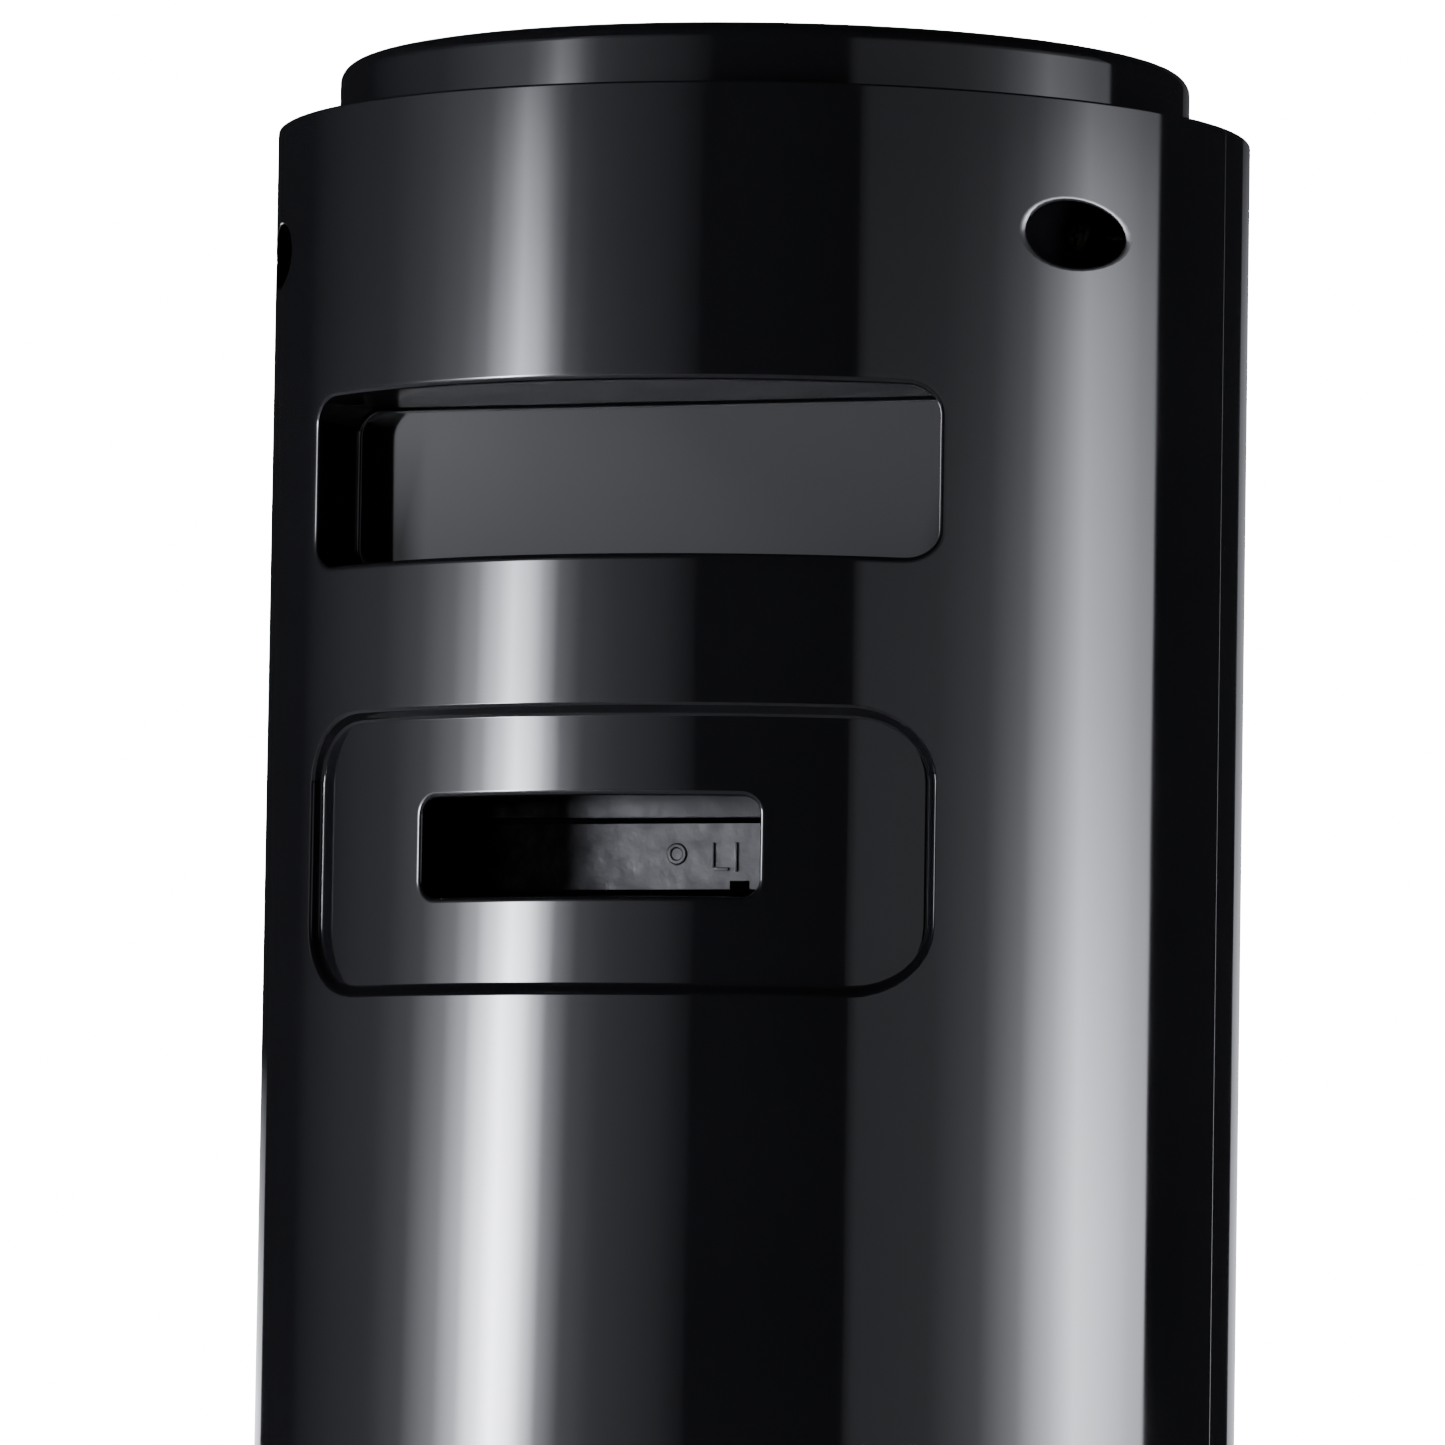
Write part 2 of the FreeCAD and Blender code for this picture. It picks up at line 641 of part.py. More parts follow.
def rear_shell():
    """The rear half: carry-handle pocket, shallow recess with the remote slot, screw wells, door opening."""
    tubes, bores = wells()
    cup = soft_block("handle_cup", ("-(handle_half + handle_wall)", "handle_half + handle_wall"),
                     (f"{HANDLE_Y} - handle_wall", "body_radius"),
                     (f"{HANDLE_LOW} - handle_wall", f"{HANDLE_HIGH} + handle_wall"),
                     "handle_corner + handle_wall")
    pan = common("recess_pan", [
        soft_block("recess_backing", ("-(recess_half + 4)", "recess_half + 4"), (0, "body_radius"),
                   ("rim_height - recess_drop - recess_tall - 4", "rim_height - recess_drop + 4"),
                   "recess_corner + 4"),
        tube("recess_skin", f"{INNER} + 0.5", f"{RECESS_FLOOR} - shell_wall", (SHELL_LOW, "rim_height"),
             seam=REAR_SEAM)])
    inside = rod("rear_envelope", "body_radius - 0.5", (SHELL_LOW, "rim_height"), (0, 0), seam=REAR_SEAM)
    inner_parts = common("rear_inner_parts", [fused("rear_inner_set", [cup, pan] + tubes), inside])
    solid = fused("rear_solid", shell_skin("rear", REAR_SEAM) + [inner_parts])
    pocket = soft_block("handle_pocket", ("-handle_half", "handle_half"), (HANDLE_Y, "body_radius + 5"),
                        (HANDLE_LOW, HANDLE_HIGH), "handle_corner")
    recess = cut("recess_cutter", soft_block(
        "recess_outline", ("-recess_half", "recess_half"), (0, "body_radius + 5"),
        ("rim_height - recess_drop - recess_tall", "rim_height - recess_drop"), "recess_corner"),
        [rod("recess_core", RECESS_FLOOR, (0, "rim_height"), (0, 0), seam=REAR_SEAM)])
    slot = soft_block("slot_cutter", ("-slot_half", "slot_half"), (f"{POCKET_Y} + 1", "body_radius + 5"),
                      (SLOT_LOW, SLOT_HIGH), "slot_corner")
    opening = block("door_opening", ("-(door_half + door_gap)", "door_half + door_gap"), (0, "body_radius + 5"),
                    ("door_low - door_swing_gap", f"{DOOR_HIGH} + door_gap"))
    return half("rear_shell", solid, [pocket, recess, slot, opening] + bores + column_holes("rear"), 1)


def front_bosses():
    """Screw bosses on the front shell as (solids, tools): where each ends along Y depends on what it holds."""
    rows = [(height, "well_seat - seat_thickness - fit_gap * 2") for height in SHELL_BOSSES]
    rows += [(height, "bay_plate - fit_gap") for height in BAY_BOSSES]
    rows += [(height, "ear_face - fit_gap") for height in ear_heights()]
    solids, tools = [], []
    for row, (height, end) in enumerate(rows):
        for side in (-1, 1):
            tag = f"{row}_{'left' if side < 0 else 'right'}"
            at = (f"{side} * {WELL_X}", height)
            solids.append(rod(f"boss_{tag}", "boss_radius", ("-boss_root", end), at, "Y"))
            tools.append(rod(f"boss_bore_{tag}", "screw_radius + screw_play",
                             (f"{end} - screw_length", f"{end} + 1"), at, "Y"))
    return solids, tools


def front_shell():
    """The front half, with the outlet opening and the bosses that everything inside is screwed to."""
    bosses, bores = front_bosses()
    inside = rod("front_envelope", "body_radius - 1", (SHELL_LOW, "rim_height"), (0, 0))
    backing = common("front_bosses", [fused("front_boss_set", bosses), inside])
    opening = block("outlet_opening", ("-(outlet_half + fit_gap)", "outlet_half + fit_gap"),
                    ("-(body_radius + 5)", 0), (f"{OUTLET_LOW} - fit_gap", f"{OUTLET_HIGH} + fit_gap"))
    seam = block("front_seam", (-FREE, FREE), ("-seam_gap / 2", FREE), (-FREE, FREE * 3))
    wall = cut("front_wall", fused("front_raw", shell_skin("front", FRONT_SEAM)),
               [opening, seam] + column_holes("front"))
    return cut("front_shell", fused("front_solid", [wall, backing]), bores)


def shell_screws():
    """Four screws in the wells, from the rear shell into the front shell's bosses."""
    return group("shell_screws", [screw(f"shell_screw_{row}_{side + 1}", (f"{side} * {WELL_X}", height),
                                        "well_seat", -1, "Y")
                                  for row, height in enumerate(SHELL_BOSSES) for side in (-1, 1)])


def ear_heights():
    """The heights of all the mounting ears, of the scroll and of the duct."""
    return EAR_BOSSES["scroll"] + EAR_BOSSES["duct"]


def inner_screws():
    """The screws that hold the filter bay, the fan scroll and the outlet duct to the front shell."""
    rows = [(height, BAY_FACE) for height in BAY_BOSSES] + [(height, EAR_HIGH) for height in ear_heights()]
    return group("inner_screws", [screw(f"inner_screw_{row}_{side + 1}", (f"{side} * {WELL_X}", height),
                                        seat, -1, "Y", "screw_length - 3")
                                  for row, (height, seat) in enumerate(rows) for side in (-1, 1)])


def remote_pocket():
    """The moulded bin behind the slot that a slim remote control drops into."""
    edge = f"{RECESS_FLOOR} - shell_wall - fit_gap"
    half_width = "slot_half + 1.5"
    outer = common("pocket_outer", [
        block("pocket_block", (f"-({half_width} + pocket_wall)", f"{half_width} + pocket_wall"),
              (f"{POCKET_Y} - pocket_wall", "body_radius"),
              (f"{SLOT_LOW} - pocket_below - pocket_wall", f"{SLOT_HIGH} + 1.5 + pocket_wall")),
        rod("pocket_envelope", edge, (0, "rim_height"), (0, 0))])
    hollow = block("pocket_hollow", (f"-({half_width})", half_width), (POCKET_Y, "body_radius + 5"),
                   (f"{SLOT_LOW} - pocket_below", f"{SLOT_HIGH} + 1.5"))
    return cut("remote_pocket", outer, [hollow])


# ---------------------------------------------------------------- filter bay

def filter_bay():
    """The frame inside the column: a plate with air windows, two side walls, floor, ceiling and hinge lugs."""
    envelope = rod("bay_envelope", CORE, (BAY_LOW, BAY_HIGH), (0, 0))
    plate = block("bay_back", (f"-{BAY_WING}", BAY_WING), ("bay_plate", BAY_FACE), (BAY_LOW, BAY_HIGH))
    sides = both_sides("bay_side", f"({BAY_HALF} - bay_wall / 2)", lambda name, x: block(
        name, (f"{x} - bay_wall / 2", f"{x} + bay_wall / 2"), ("bay_plate", "body_radius"),
        (BAY_LOW, BAY_HIGH)))
    floor = block("bay_floor", (f"-{BAY_HALF}", BAY_HALF), ("bay_plate", "body_radius"),
                  (BAY_LOW, f"{BAY_LOW} + bay_wall"))
    ceiling = block("bay_ceiling", (f"-{BAY_HALF}", BAY_HALF), ("bay_plate", "body_radius"),
                    (f"{BAY_HIGH} - bay_wall", BAY_HIGH))
    arms = both_sides("catch_arm", f"({BAY_HALF} - 7)", lambda name, x: block(
        name, (f"{x} - 6", f"{x} + 6"), ("filter_front + catch_inset", CATCH_Y),
        (f"{MAGNET_Z} - 7", f"{MAGNET_Z} + 9")))
    lugs = []
    for row, x in enumerate(lug_centres("bay")):
        span = (f"{x} - lug_width / 2 + 0.4", f"{x} + lug_width / 2 - 0.4")
        lugs.append(rod(f"bay_lug_{row}", "lug_radius", span, (HINGE_Y, HINGE_Z), "X"))
        lugs.append(block(f"bay_lug_post_{row}", span,
                          (f"{HINGE_Y} - lug_radius", f"{HINGE_Y} + lug_radius / 2"), (BAY_LOW, HINGE_Z)))
    solid = common("bay_solid", [fused("bay_raw", [plate, floor, ceiling] + sides + arms + lugs), envelope])
    windows = []
    tall = f"(({BAY_HIGH} - {BAY_LOW} - 2 * window_margin + bay_bar) / 4)"
    for column, (low, high) in enumerate((("-window_half", "-bay_bar / 2"), ("bay_bar / 2", "window_half"))):
        for row in range(4):
            foot = f"({BAY_LOW} + window_margin + {row} * {tall})"
            windows.append(block(f"bay_window_{column}_{row}", (low, high),
                                 ("bay_plate - 1", f"{BAY_FACE} + 1"), (foot, f"{foot} + {tall} - bay_bar")))
    holes = [rod(f"bay_hole_{row}_{side + 1}", "screw_hole", ("bay_plate - 1", f"{BAY_FACE} + 1"),
                 (f"{side} * {WELL_X}", height), "Y")
             for row, height in enumerate(BAY_BOSSES) for side in (-1, 1)]
    pins = rod("bay_pin_bore", "hinge_pin", ("-lug_start - 3 * lug_width", "lug_start + 3 * lug_width"),
               (HINGE_Y, HINGE_Z), "X")
    return cut("filter_bay", solid, windows + holes + [pins])


def lug_centres(owner):
    """Where the hinge lugs stand along X: the door's lugs, or the bay's lugs on both sides of each."""
    door = "(lug_start + lug_width)"
    steps = {"door": [0], "bay": [-1, 1]}[owner]
    return [f"({side} * ({door} + {step} * lug_width))" for side in (-1, 1) for step in steps]


def hinge_pins():
    """Two short steel pins, fixed in the bay's lugs, on which the door's lugs turn."""
    centre = "(lug_start + lug_width)"
    return group("hinge_pins", [rod(f"hinge_pin_{side + 1}", "hinge_pin",
                                    (f"{side} * {centre} - 1.5 * lug_width + 0.5",
                                     f"{side} * {centre} + 1.5 * lug_width - 0.5"),
                                    (HINGE_Y, HINGE_Z), "X") for side in (-1, 1)])


def catch_plates():
    """Two steel plates on the bay's arms that the door magnets pull to."""
    return group("catch_plates", both_sides("catch_plate", f"({BAY_HALF} - 8)", lambda name, x: block(
        name, (f"{x} - 4.5", f"{x} + 4.5"), (CATCH_Y, f"{CATCH_Y} + catch_plate"),
        (f"{MAGNET_Z} - 5", f"{MAGNET_Z} + 5"))))


def door_sensor():
    """The sealed reed switch on the bay's side wall that stops the fan when the door is open."""
    return block("door_sensor", (BAY_HALF, f"{BAY_HALF} + 4"), (f"{BAY_FACE}", f"{BAY_FACE} + 11"),
                 (f"{MAGNET_Z} - 12", f"{MAGNET_Z} + 4"))


def filter_door():
    """The louvred rear door with the rails and shelf that carry the filters, and its hinge lugs."""
    wall = turned("door_wall", [(INNER, "door_low"), ("body_radius", "door_low"),
                                ("body_radius", DOOR_HIGH), (INNER, DOOR_HIGH)])
    skin = common("door_skin", [wall, block("door_width", ("-door_half", "door_half"), (0, "body_radius + 5"),
                                            ("door_low", DOOR_HIGH))])
    envelope = rod("door_envelope", "body_radius - 1", ("door_low - 3", DOOR_HIGH), (0, 0))
    rails = both_sides("door_rail", f"(({RAIL_IN} + {RAIL_OUT}) / 2)", lambda name, x: block(
        name, (f"{x} - rib_wall / 2", f"{x} + rib_wall / 2"), ("filter_front + 6", "body_radius"),
        (SHELF_LOW, f"{FILTER_HIGH} - 6")))
    shelf = block("door_shelf", (f"-{RAIL_OUT}", RAIL_OUT), ("filter_front - 2", "body_radius"),
                  (SHELF_LOW, f"{SHELF_LOW} + shelf_thickness"))
    cups = both_sides("magnet_cup", f"({RAIL_OUT} + 4.5)", lambda name, x: block(
        name, (f"{x} - 5.5", f"{x} + 5.5"), (MAGNET_Y, f"{MAGNET_Y} + magnet_cup"),
        (f"{MAGNET_Z} - 6", f"{MAGNET_Z} + 2")))
    lugs = []
    for row, x in enumerate(lug_centres("door")):
        span = (f"{x} - lug_width / 2 + 0.1", f"{x} + lug_width / 2 - 0.1")
        lugs.append(rod(f"door_lug_{row}", "lug_radius", span, (HINGE_Y, HINGE_Z), "X"))
        lugs.append(block(f"door_lug_web_{row}", span, (f"{HINGE_Y} - lug_radius", "body_radius"),
                          (HINGE_Z, f"{SHELF_LOW} + 1")))
    ribs = common("door_ribs", [fused("door_rib_set", rails + [shelf] + cups + lugs), envelope])
    slots = []
    for column in (-1, 0, 1):
        middle = f"({column} * (2 * louvre_half + mullion))"
        slots.append(block(f"louvre_{column + 1}", (f"{middle} - louvre_half", f"{middle} + louvre_half"),
                           ("body_radius / 3", "body_radius + 5"),
                           ("door_low + louvre_margin", "door_low + louvre_margin + louvre_slot")))
    rows = doc.addObject("Part::MultiFuse", "louvre_row")
    rows.Shapes = slots
    ladder = group("louvre_ladder", [lifted(rows, row) for row in range(louvre_count())])
    open_skin = cut("door_open_skin", skin, [ladder])
    bores = [rod("door_pin_bore", "hinge_pin + hinge_play", ("-door_half / 2", "door_half / 2"),
                 (HINGE_Y, HINGE_Z), "X")]
    bores += both_sides("magnet_bore", f"({RAIL_OUT} + 5)", lambda name, x: rod(
        name, "magnet_radius + hinge_play", (f"{MAGNET_Y} - 0.2", f"{MAGNET_Y} + magnet_thick"),
        (x, f"{MAGNET_Z} - 2"), "Y"))
    return cut("filter_door", fused("door_solid", [open_skin, ribs]), bores)


def louvre_count():
    """How many louvre rows fit the door at the pitch."""
    tall = number(f"{DOOR_HIGH} - door_low - 2 * louvre_margin - louvre_slot")
    return int(tall // number("louvre_pitch")) + 1


def lifted(item, row):
    """A copy of a row of slots, raised by whole louvre pitches."""
    copy = doc.addObject("Part::Compound", f"{item.Name}_{row}")
    copy.Links = [item]
    bind(copy, "Placement.Base.z", f"{row} * louvre_pitch")
    return copy


def door_magnets():
    """Two magnets pressed into the door's cups, which hold it shut."""
    return group("door_magnets", both_sides("door_magnet", f"({RAIL_OUT} + 5)", lambda name, x: rod(
        name, "magnet_radius", (f"{MAGNET_Y} + 0.1", f"{MAGNET_Y} + magnet_thick"),
        (x, f"{MAGNET_Z} - 2"), "Y")))


def filter_ring(name, y, inset):
    """A rectangular frame as large as the filter."""
    solid = block(f"{name}_solid", ("-filter_half", "filter_half"), y, (FILTER_LOW, FILTER_HIGH))
    window = block(f"{name}_window", (f"-(filter_half - {inset})", f"filter_half - {inset}"),
                   (f"{y[0]} - 1", f"{y[1]} + 1"), (f"{FILTER_LOW} + {inset}", f"{FILTER_HIGH} - {inset}"))
    return cut(name, solid, [window])


def hepa_frame():
    """The stiff card frame of the HEPA cartridge."""
    return filter_ring("hepa_frame", ("filter_front", FILTER_BACK), "filter_frame")


def hepa_media():
    """The pleated pack inside the frame."""
    inset = "filter_frame + 0.02"
    return block("hepa_media", (f"-(filter_half - ({inset}))", f"filter_half - ({inset})"),
                 ("filter_front + 2", f"{FILTER_BACK} - 2"),
                 (f"{FILTER_LOW} + {inset}", f"{FILTER_HIGH} - ({inset})"))


def filter_gasket():
    """The foam seal between the cartridge and the bay's plate."""
    return filter_ring("filter_gasket", ("filter_front - gasket_thick", "filter_front"), "filter_frame + 3")


def pull_tab():
    """The tab that lifts the cartridge out of the open door."""
    return block("pull_tab", (-11, 11), (f"{FILTER_BACK} - 14", f"{FILTER_BACK} - 12.4"),
                 (FILTER_HIGH, f"{FILTER_HIGH} + 4.5"))


def prefilter():
    """The washable mesh panel just behind the louvres."""
    low = f"{FILTER_BACK} + 0.5"
    return block("prefilter", ("-filter_half", "filter_half"), (low, f"{low} + prefilter_thick"),
                 (FILTER_LOW, FILTER_HIGH))


# ---------------------------------------------------------------- fan

def quadrant(name, turn, radius, centre, span):
    """A quarter disc about an axis along Y: turn 0 is right and down, 1 left and down, 2 left and up."""
    item = rod(name, radius, span, centre, "Y")
    item.Angle = 90
    item.Placement.Rotation = FreeCAD.Rotation(FreeCAD.Vector(0, 1, 0), 90 * turn) * TURNS["Y"]
    return item


def scroll_solid(name, grow, span):
    """The four-centre spiral of the fan housing with its upward throat, grown by a wall."""
    near, far = "(-scroll_step / 2)", "(scroll_step / 2)"
    start = "(wheel_radius + wheel_gap)"
    quarters = [
        (2, f"{start} + {grow}", near, near),
        (1, f"{start} + scroll_step + {grow}", far, near),
        (0, f"{start} + 2 * scroll_step + {grow}", far, far),
    ]
    solids = [quadrant(f"{name}_quarter_{turn}", turn, radius, (f"fan_shift + {x}", f"{FAN_Z} + {z}"), span)
              for turn, radius, x, z in quarters]
    solids.append(rod(f"{name}_eye", f"wheel_radius + wheel_gap - 1 + {grow}", span, ("fan_shift", FAN_Z),
                      "Y"))
    solids.append(block(f"{name}_throat", (f"fan_shift + tongue - ({grow})",
                                           f"fan_shift + {far} + {start} + 2 * scroll_step + {grow}"),
                        span, (FAN_Z, f"{DUCT_LOW} - fit_gap")))
    return fused(name, solids)


def ears(name, low, high, root):
    """Screw ears that reach out to the front shell's bosses, with their holes, as (solids, holes)."""
    solids, holes = [], []
    for row, height in enumerate(EAR_BOSSES[name]):
        for side in (-1, 1):
            tag = f"{name}_ear_{row}_{side + 1}"
            x = (f"-({WELL_X} + boss_radius)", f"-({root})") if side < 0 else (root, f"{WELL_X} + boss_radius")
            solids.append(block(tag, x, (low, high), (f"{height} - boss_radius", f"{height} + boss_radius")))
            holes.append(rod(f"{tag}_hole", "screw_hole", (f"{low} - 1", f"{high} + 1"),
                             (f"{side} * {WELL_X}", height), "Y"))
    return solids, holes


def scroll_front():
    """The front half of the fan housing, with the intake eye and the mounting ears."""
    shell = scroll_solid("scroll_front_outer", "scroll_wall",
                         ("scroll_front_y - scroll_wall", "scroll_split - fit_gap / 2"))
    tabs, holes = ears("scroll", "ear_face", EAR_HIGH, "(wheel_radius - 10)")
    hollow = scroll_solid("scroll_front_inner", "0", ("scroll_front_y", "scroll_split + 1"))
    mouth = open_top("scroll_front", ("scroll_front_y", "scroll_split + 1"))
    eye = rod("scroll_intake", WHEEL_EYE, ("scroll_front_y - scroll_wall - 1", "scroll_front_y + 1"),
              ("fan_shift", FAN_Z), "Y")
    return cut("scroll_front", fused("scroll_front_solid", [shell] + tabs), [hollow, mouth, eye] + holes)


def open_top(name, span):
    """A tool that opens the top of the throat."""
    right = "fan_shift + scroll_step / 2 + wheel_radius + wheel_gap + 2 * scroll_step"
    return block(f"{name}_mouth", ("fan_shift + tongue", right), span, (f"{DUCT_LOW} - 10", f"{DUCT_LOW} + 5"))


def scroll_rear():
    """The rear half of the fan housing, with the motor's shaft hole."""
    shell = scroll_solid("scroll_rear_outer", "scroll_wall",
                         ("scroll_split + fit_gap / 2", "scroll_back_y + scroll_wall"))
    hollow = scroll_solid("scroll_rear_inner", "0", ("scroll_split - 1", "scroll_back_y"))
    mouth = open_top("scroll_rear", ("scroll_split - 1", "scroll_back_y"))
    shaft = rod("scroll_shaft_hole", "hub_radius + 2", ("scroll_back_y - 1", "scroll_back_y + scroll_wall + 1"),
                ("fan_shift", FAN_Z), "Y")
    return cut("scroll_rear", shell, [hollow, mouth, shaft])


def inlet_ring():
    """The bell-mouth ring on the intake eye."""
    mouth = "(scroll_front_y - scroll_wall)"
    rim, throat = f"({WHEEL_EYE} + 8)", f"({WHEEL_EYE} - 1)"
    ring = turned("inlet_ring", [
        (throat, f"{mouth} + 1.5"), (throat, f"{mouth} - inlet_ring_deep / 2"),
        (f"{WHEEL_EYE} + 3", f"{mouth} - inlet_ring_deep"), (rim, f"{mouth} - inlet_ring_deep"),
        (rim, mouth), (f"{WHEEL_EYE} - 0.2", mouth), (f"{WHEEL_EYE} - 0.2", f"{mouth} + 1.5")], "XY_Plane")
    place(ring, ("fan_shift", 0, FAN_Z))
    return ring


def impeller():
    """The forward-curved fan wheel: hub and back plate, a ring of blades and a front ring."""
    wheel = doc.addObject("PartDesign::Body", "impeller")
    front = "(-wheel_width)"
    outline = sketch_on(wheel, "wheel_profile", "XY_Plane", [
        ("shaft_radius", 0), ("wheel_radius", 0), ("wheel_radius", "-wheel_plate"),
        ("hub_radius + 3", "-wheel_plate"), ("hub_radius", "-wheel_plate - 3"), ("hub_radius", -16),
        ("shaft_radius", -16)])
    hub = wheel.newObject("PartDesign::Revolution", "wheel_hub")
    hub.Profile = outline
    hub.ReferenceAxis = (outline, ["V_Axis"])
    hub.Angle = 360
    ring = sketch_on(wheel, "ring_profile", "XY_Plane", [
        (f"{WHEEL_EYE} + 1", front), ("wheel_radius", front), ("wheel_radius", f"{front} + 3"),
        (f"{WHEEL_EYE} + 3", f"{front} + 3")])
    rim = wheel.newObject("PartDesign::Revolution", "wheel_ring")
    rim.Profile = ring
    rim.ReferenceAxis = (ring, ["V_Axis"])
    rim.Angle = 360
    lean = "(wheel_radius * 0.11)"
    blade = sketch_on(wheel, "blade_profile", "XZ_Plane", [
        (f"{WHEEL_EYE} + 2", "-blade_thick / 2"), ("wheel_radius - 0.8", f"{lean} - blade_thick / 2"),
        ("wheel_radius - 0.8", f"{lean} + blade_thick / 2"), (f"{WHEEL_EYE} + 2", "blade_thick / 2")])
    pad = wheel.newObject("PartDesign::Pad", "wheel_blade")
    pad.Profile = blade
    bind(pad, "Length", "wheel_width - 1")
    doc.recompute()
    spread = wheel.newObject("PartDesign::PolarPattern", "wheel_blades")
    spread.Originals = [pad]
    spread.Axis = (blade, ["N_Axis"])
    spread.Angle = 360
    bind(spread, "Occurrences", "blade_count")
    wheel.Tip = spread
    place(wheel, ("fan_shift", "wheel_back", FAN_Z))
    return wheel


def motor_shaft():
    """The shaft that the wheel is pressed on."""
    return rod("motor_shaft", "shaft_radius - 0.01",
               ("wheel_back - 16", "scroll_back_y + scroll_wall + bush_length + motor_length - 2"),
               ("fan_shift", FAN_Z), "Y")


def motor_body():
    """The motor's can and its mounting flange, on rubber bushes behind the fan housing."""
    face = "(scroll_back_y + scroll_wall + bush_length)"
    can = rod("motor_can", "motor_radius", (face, f"{face} + motor_length"), ("fan_shift", FAN_Z), "Y")
    flange = rod("motor_flange", "bush_circle + bush_radius + 1", (face, f"{face} + 2"),
                 ("fan_shift", FAN_Z), "Y")
    bore = rod("motor_bore", "bearing_radius", (f"{face} - 1", f"{face} + motor_length - 1.5"),
               ("fan_shift", FAN_Z), "Y")
    return cut("motor_body", fused("motor_solid", [can, flange]), [bore])


def motor_bearings():
    """Two sintered bushes in the motor that carry the shaft."""
    face = "(scroll_back_y + scroll_wall + bush_length)"
    places = [f"{face} + 0.5", f"{face} + motor_length - bearing_length - 3"]
    return group("motor_bearings", [tube(f"bearing_{row}", "bearing_radius", "shaft_radius + shaft_play",
                                         (low, f"{low} + bearing_length"), ("fan_shift", FAN_Z), "Y")
                                    for row, low in enumerate(places)])


def motor_bushes():
    """Three rubber bushes that keep the motor's hum out of the housing."""
    face = "(scroll_back_y + scroll_wall)"
    bushes = []
    for angle in BUSH_ANGLES:
        x, z = polar("bush_circle", angle)
        bushes.append(rod(f"bush_{angle}", "bush_radius", (face, f"{face} + bush_length"),
                          (f"fan_shift + {x}", f"{FAN_Z} + {z}"), "Y"))
    return group("motor_bushes", bushes)


# ---------------------------------------------------------------- outlet

def outlet_duct():
    """The box that turns the fan's air forward, with a floor that closes off the intake side."""
    sheet = (DUCT_LOW, f"{DUCT_LOW} + duct_wall")
    through = (f"{DUCT_LOW} - 1", f"{DUCT_LOW} + duct_wall + 1")
    box = block("duct_box", ("-duct_half", "duct_half"), ("-(body_radius - duct_inset)", "duct_back"),
                (DUCT_LOW, DUCT_HIGH))
    floor = cut("duct_floor", rod("duct_floor_disc", f"{CORE} - 0.5", sheet, (0, 0)),
                [block("duct_floor_rear", (-FREE, FREE), ("duct_back", FREE), (0, "rim_height")),
                 rod("duct_cable_hole", "harness_radius + 1.5", through,
                     (f"-{HARNESS_X}", "-harness_y"))]
                + both_sides("duct_boss_gap", WELL_X, lambda name, x: block(
                    name, (f"{x} - boss_radius - 1", f"{x} + boss_radius + 1"),
                    ("-boss_root - 8", f"{EAR_HIGH} + 3"), through)))
    tabs, holes = ears("duct", "ear_face", EAR_HIGH, "(duct_half - 1)")
    hollow = block("duct_hollow", ("-(duct_half - duct_wall)", "duct_half - duct_wall"),
                   (-FREE, "duct_back - duct_wall"), (f"{DUCT_LOW} + duct_wall", f"{DUCT_HIGH} - duct_wall"))
    throat = block("duct_throat", ("fan_shift + tongue",
                                   "fan_shift + scroll_step / 2 + wheel_radius + wheel_gap + 2 * scroll_step"),
                   ("scroll_front_y", "scroll_back_y"), through)
    return cut("outlet_duct", fused("duct_solid", [box, floor] + tabs), [hollow, throat] + holes)


def outlet_grille():
    """The curved grille in the front shell, with upright fins and one cross rail."""
    frame = tube("grille_tube", "body_radius", "body_radius - grille_depth", (OUTLET_LOW, OUTLET_HIGH))
    window = block("grille_window", ("-(outlet_half - grille_frame)", "outlet_half - grille_frame"),
                   ("-(body_radius + 5)", 0), (f"{OUTLET_LOW} + grille_frame", f"{OUTLET_HIGH} - grille_frame"))
    fins = [block(f"grille_fin_{row}", (f"{row} * grille_pitch - grille_fin / 2",
                                        f"{row} * grille_pitch + grille_fin / 2"),
                  ("-(body_radius + 5)", 0), (f"{OUTLET_LOW} + 1", f"{OUTLET_HIGH} - 1")) for row in fin_rows()]
    middle = f"(({OUTLET_LOW} + {OUTLET_HIGH}) / 2)"
    rail = block("grille_rail", ("-outlet_half + 1", "outlet_half - 1"), ("-(body_radius + 5)", 0),
                 (f"{middle} - grille_fin / 2", f"{middle} + grille_fin / 2"))
    bars = common("grille_bars", [fused("grille_bar_set", fins + [rail]),
                                  tube("grille_bar_skin", "body_radius - 0.6", "body_radius - grille_depth",
                                       (OUTLET_LOW, OUTLET_HIGH))])
    edge = cut("grille_edge", frame, [window])
    width = block("grille_width", ("-outlet_half", "outlet_half"), ("-(body_radius + 5)", 0),
                  (OUTLET_LOW, OUTLET_HIGH))
    return common("outlet_grille", [fused("grille_solid", [edge, bars]), width])


def fin_rows():
    """Whole numbers of fin pitches either side of the middle."""
    count = int(number("(outlet_half - grille_frame - 2) / grille_pitch"))
    return range(-count, count + 1)


# ---------------------------------------------------------------- top and controls

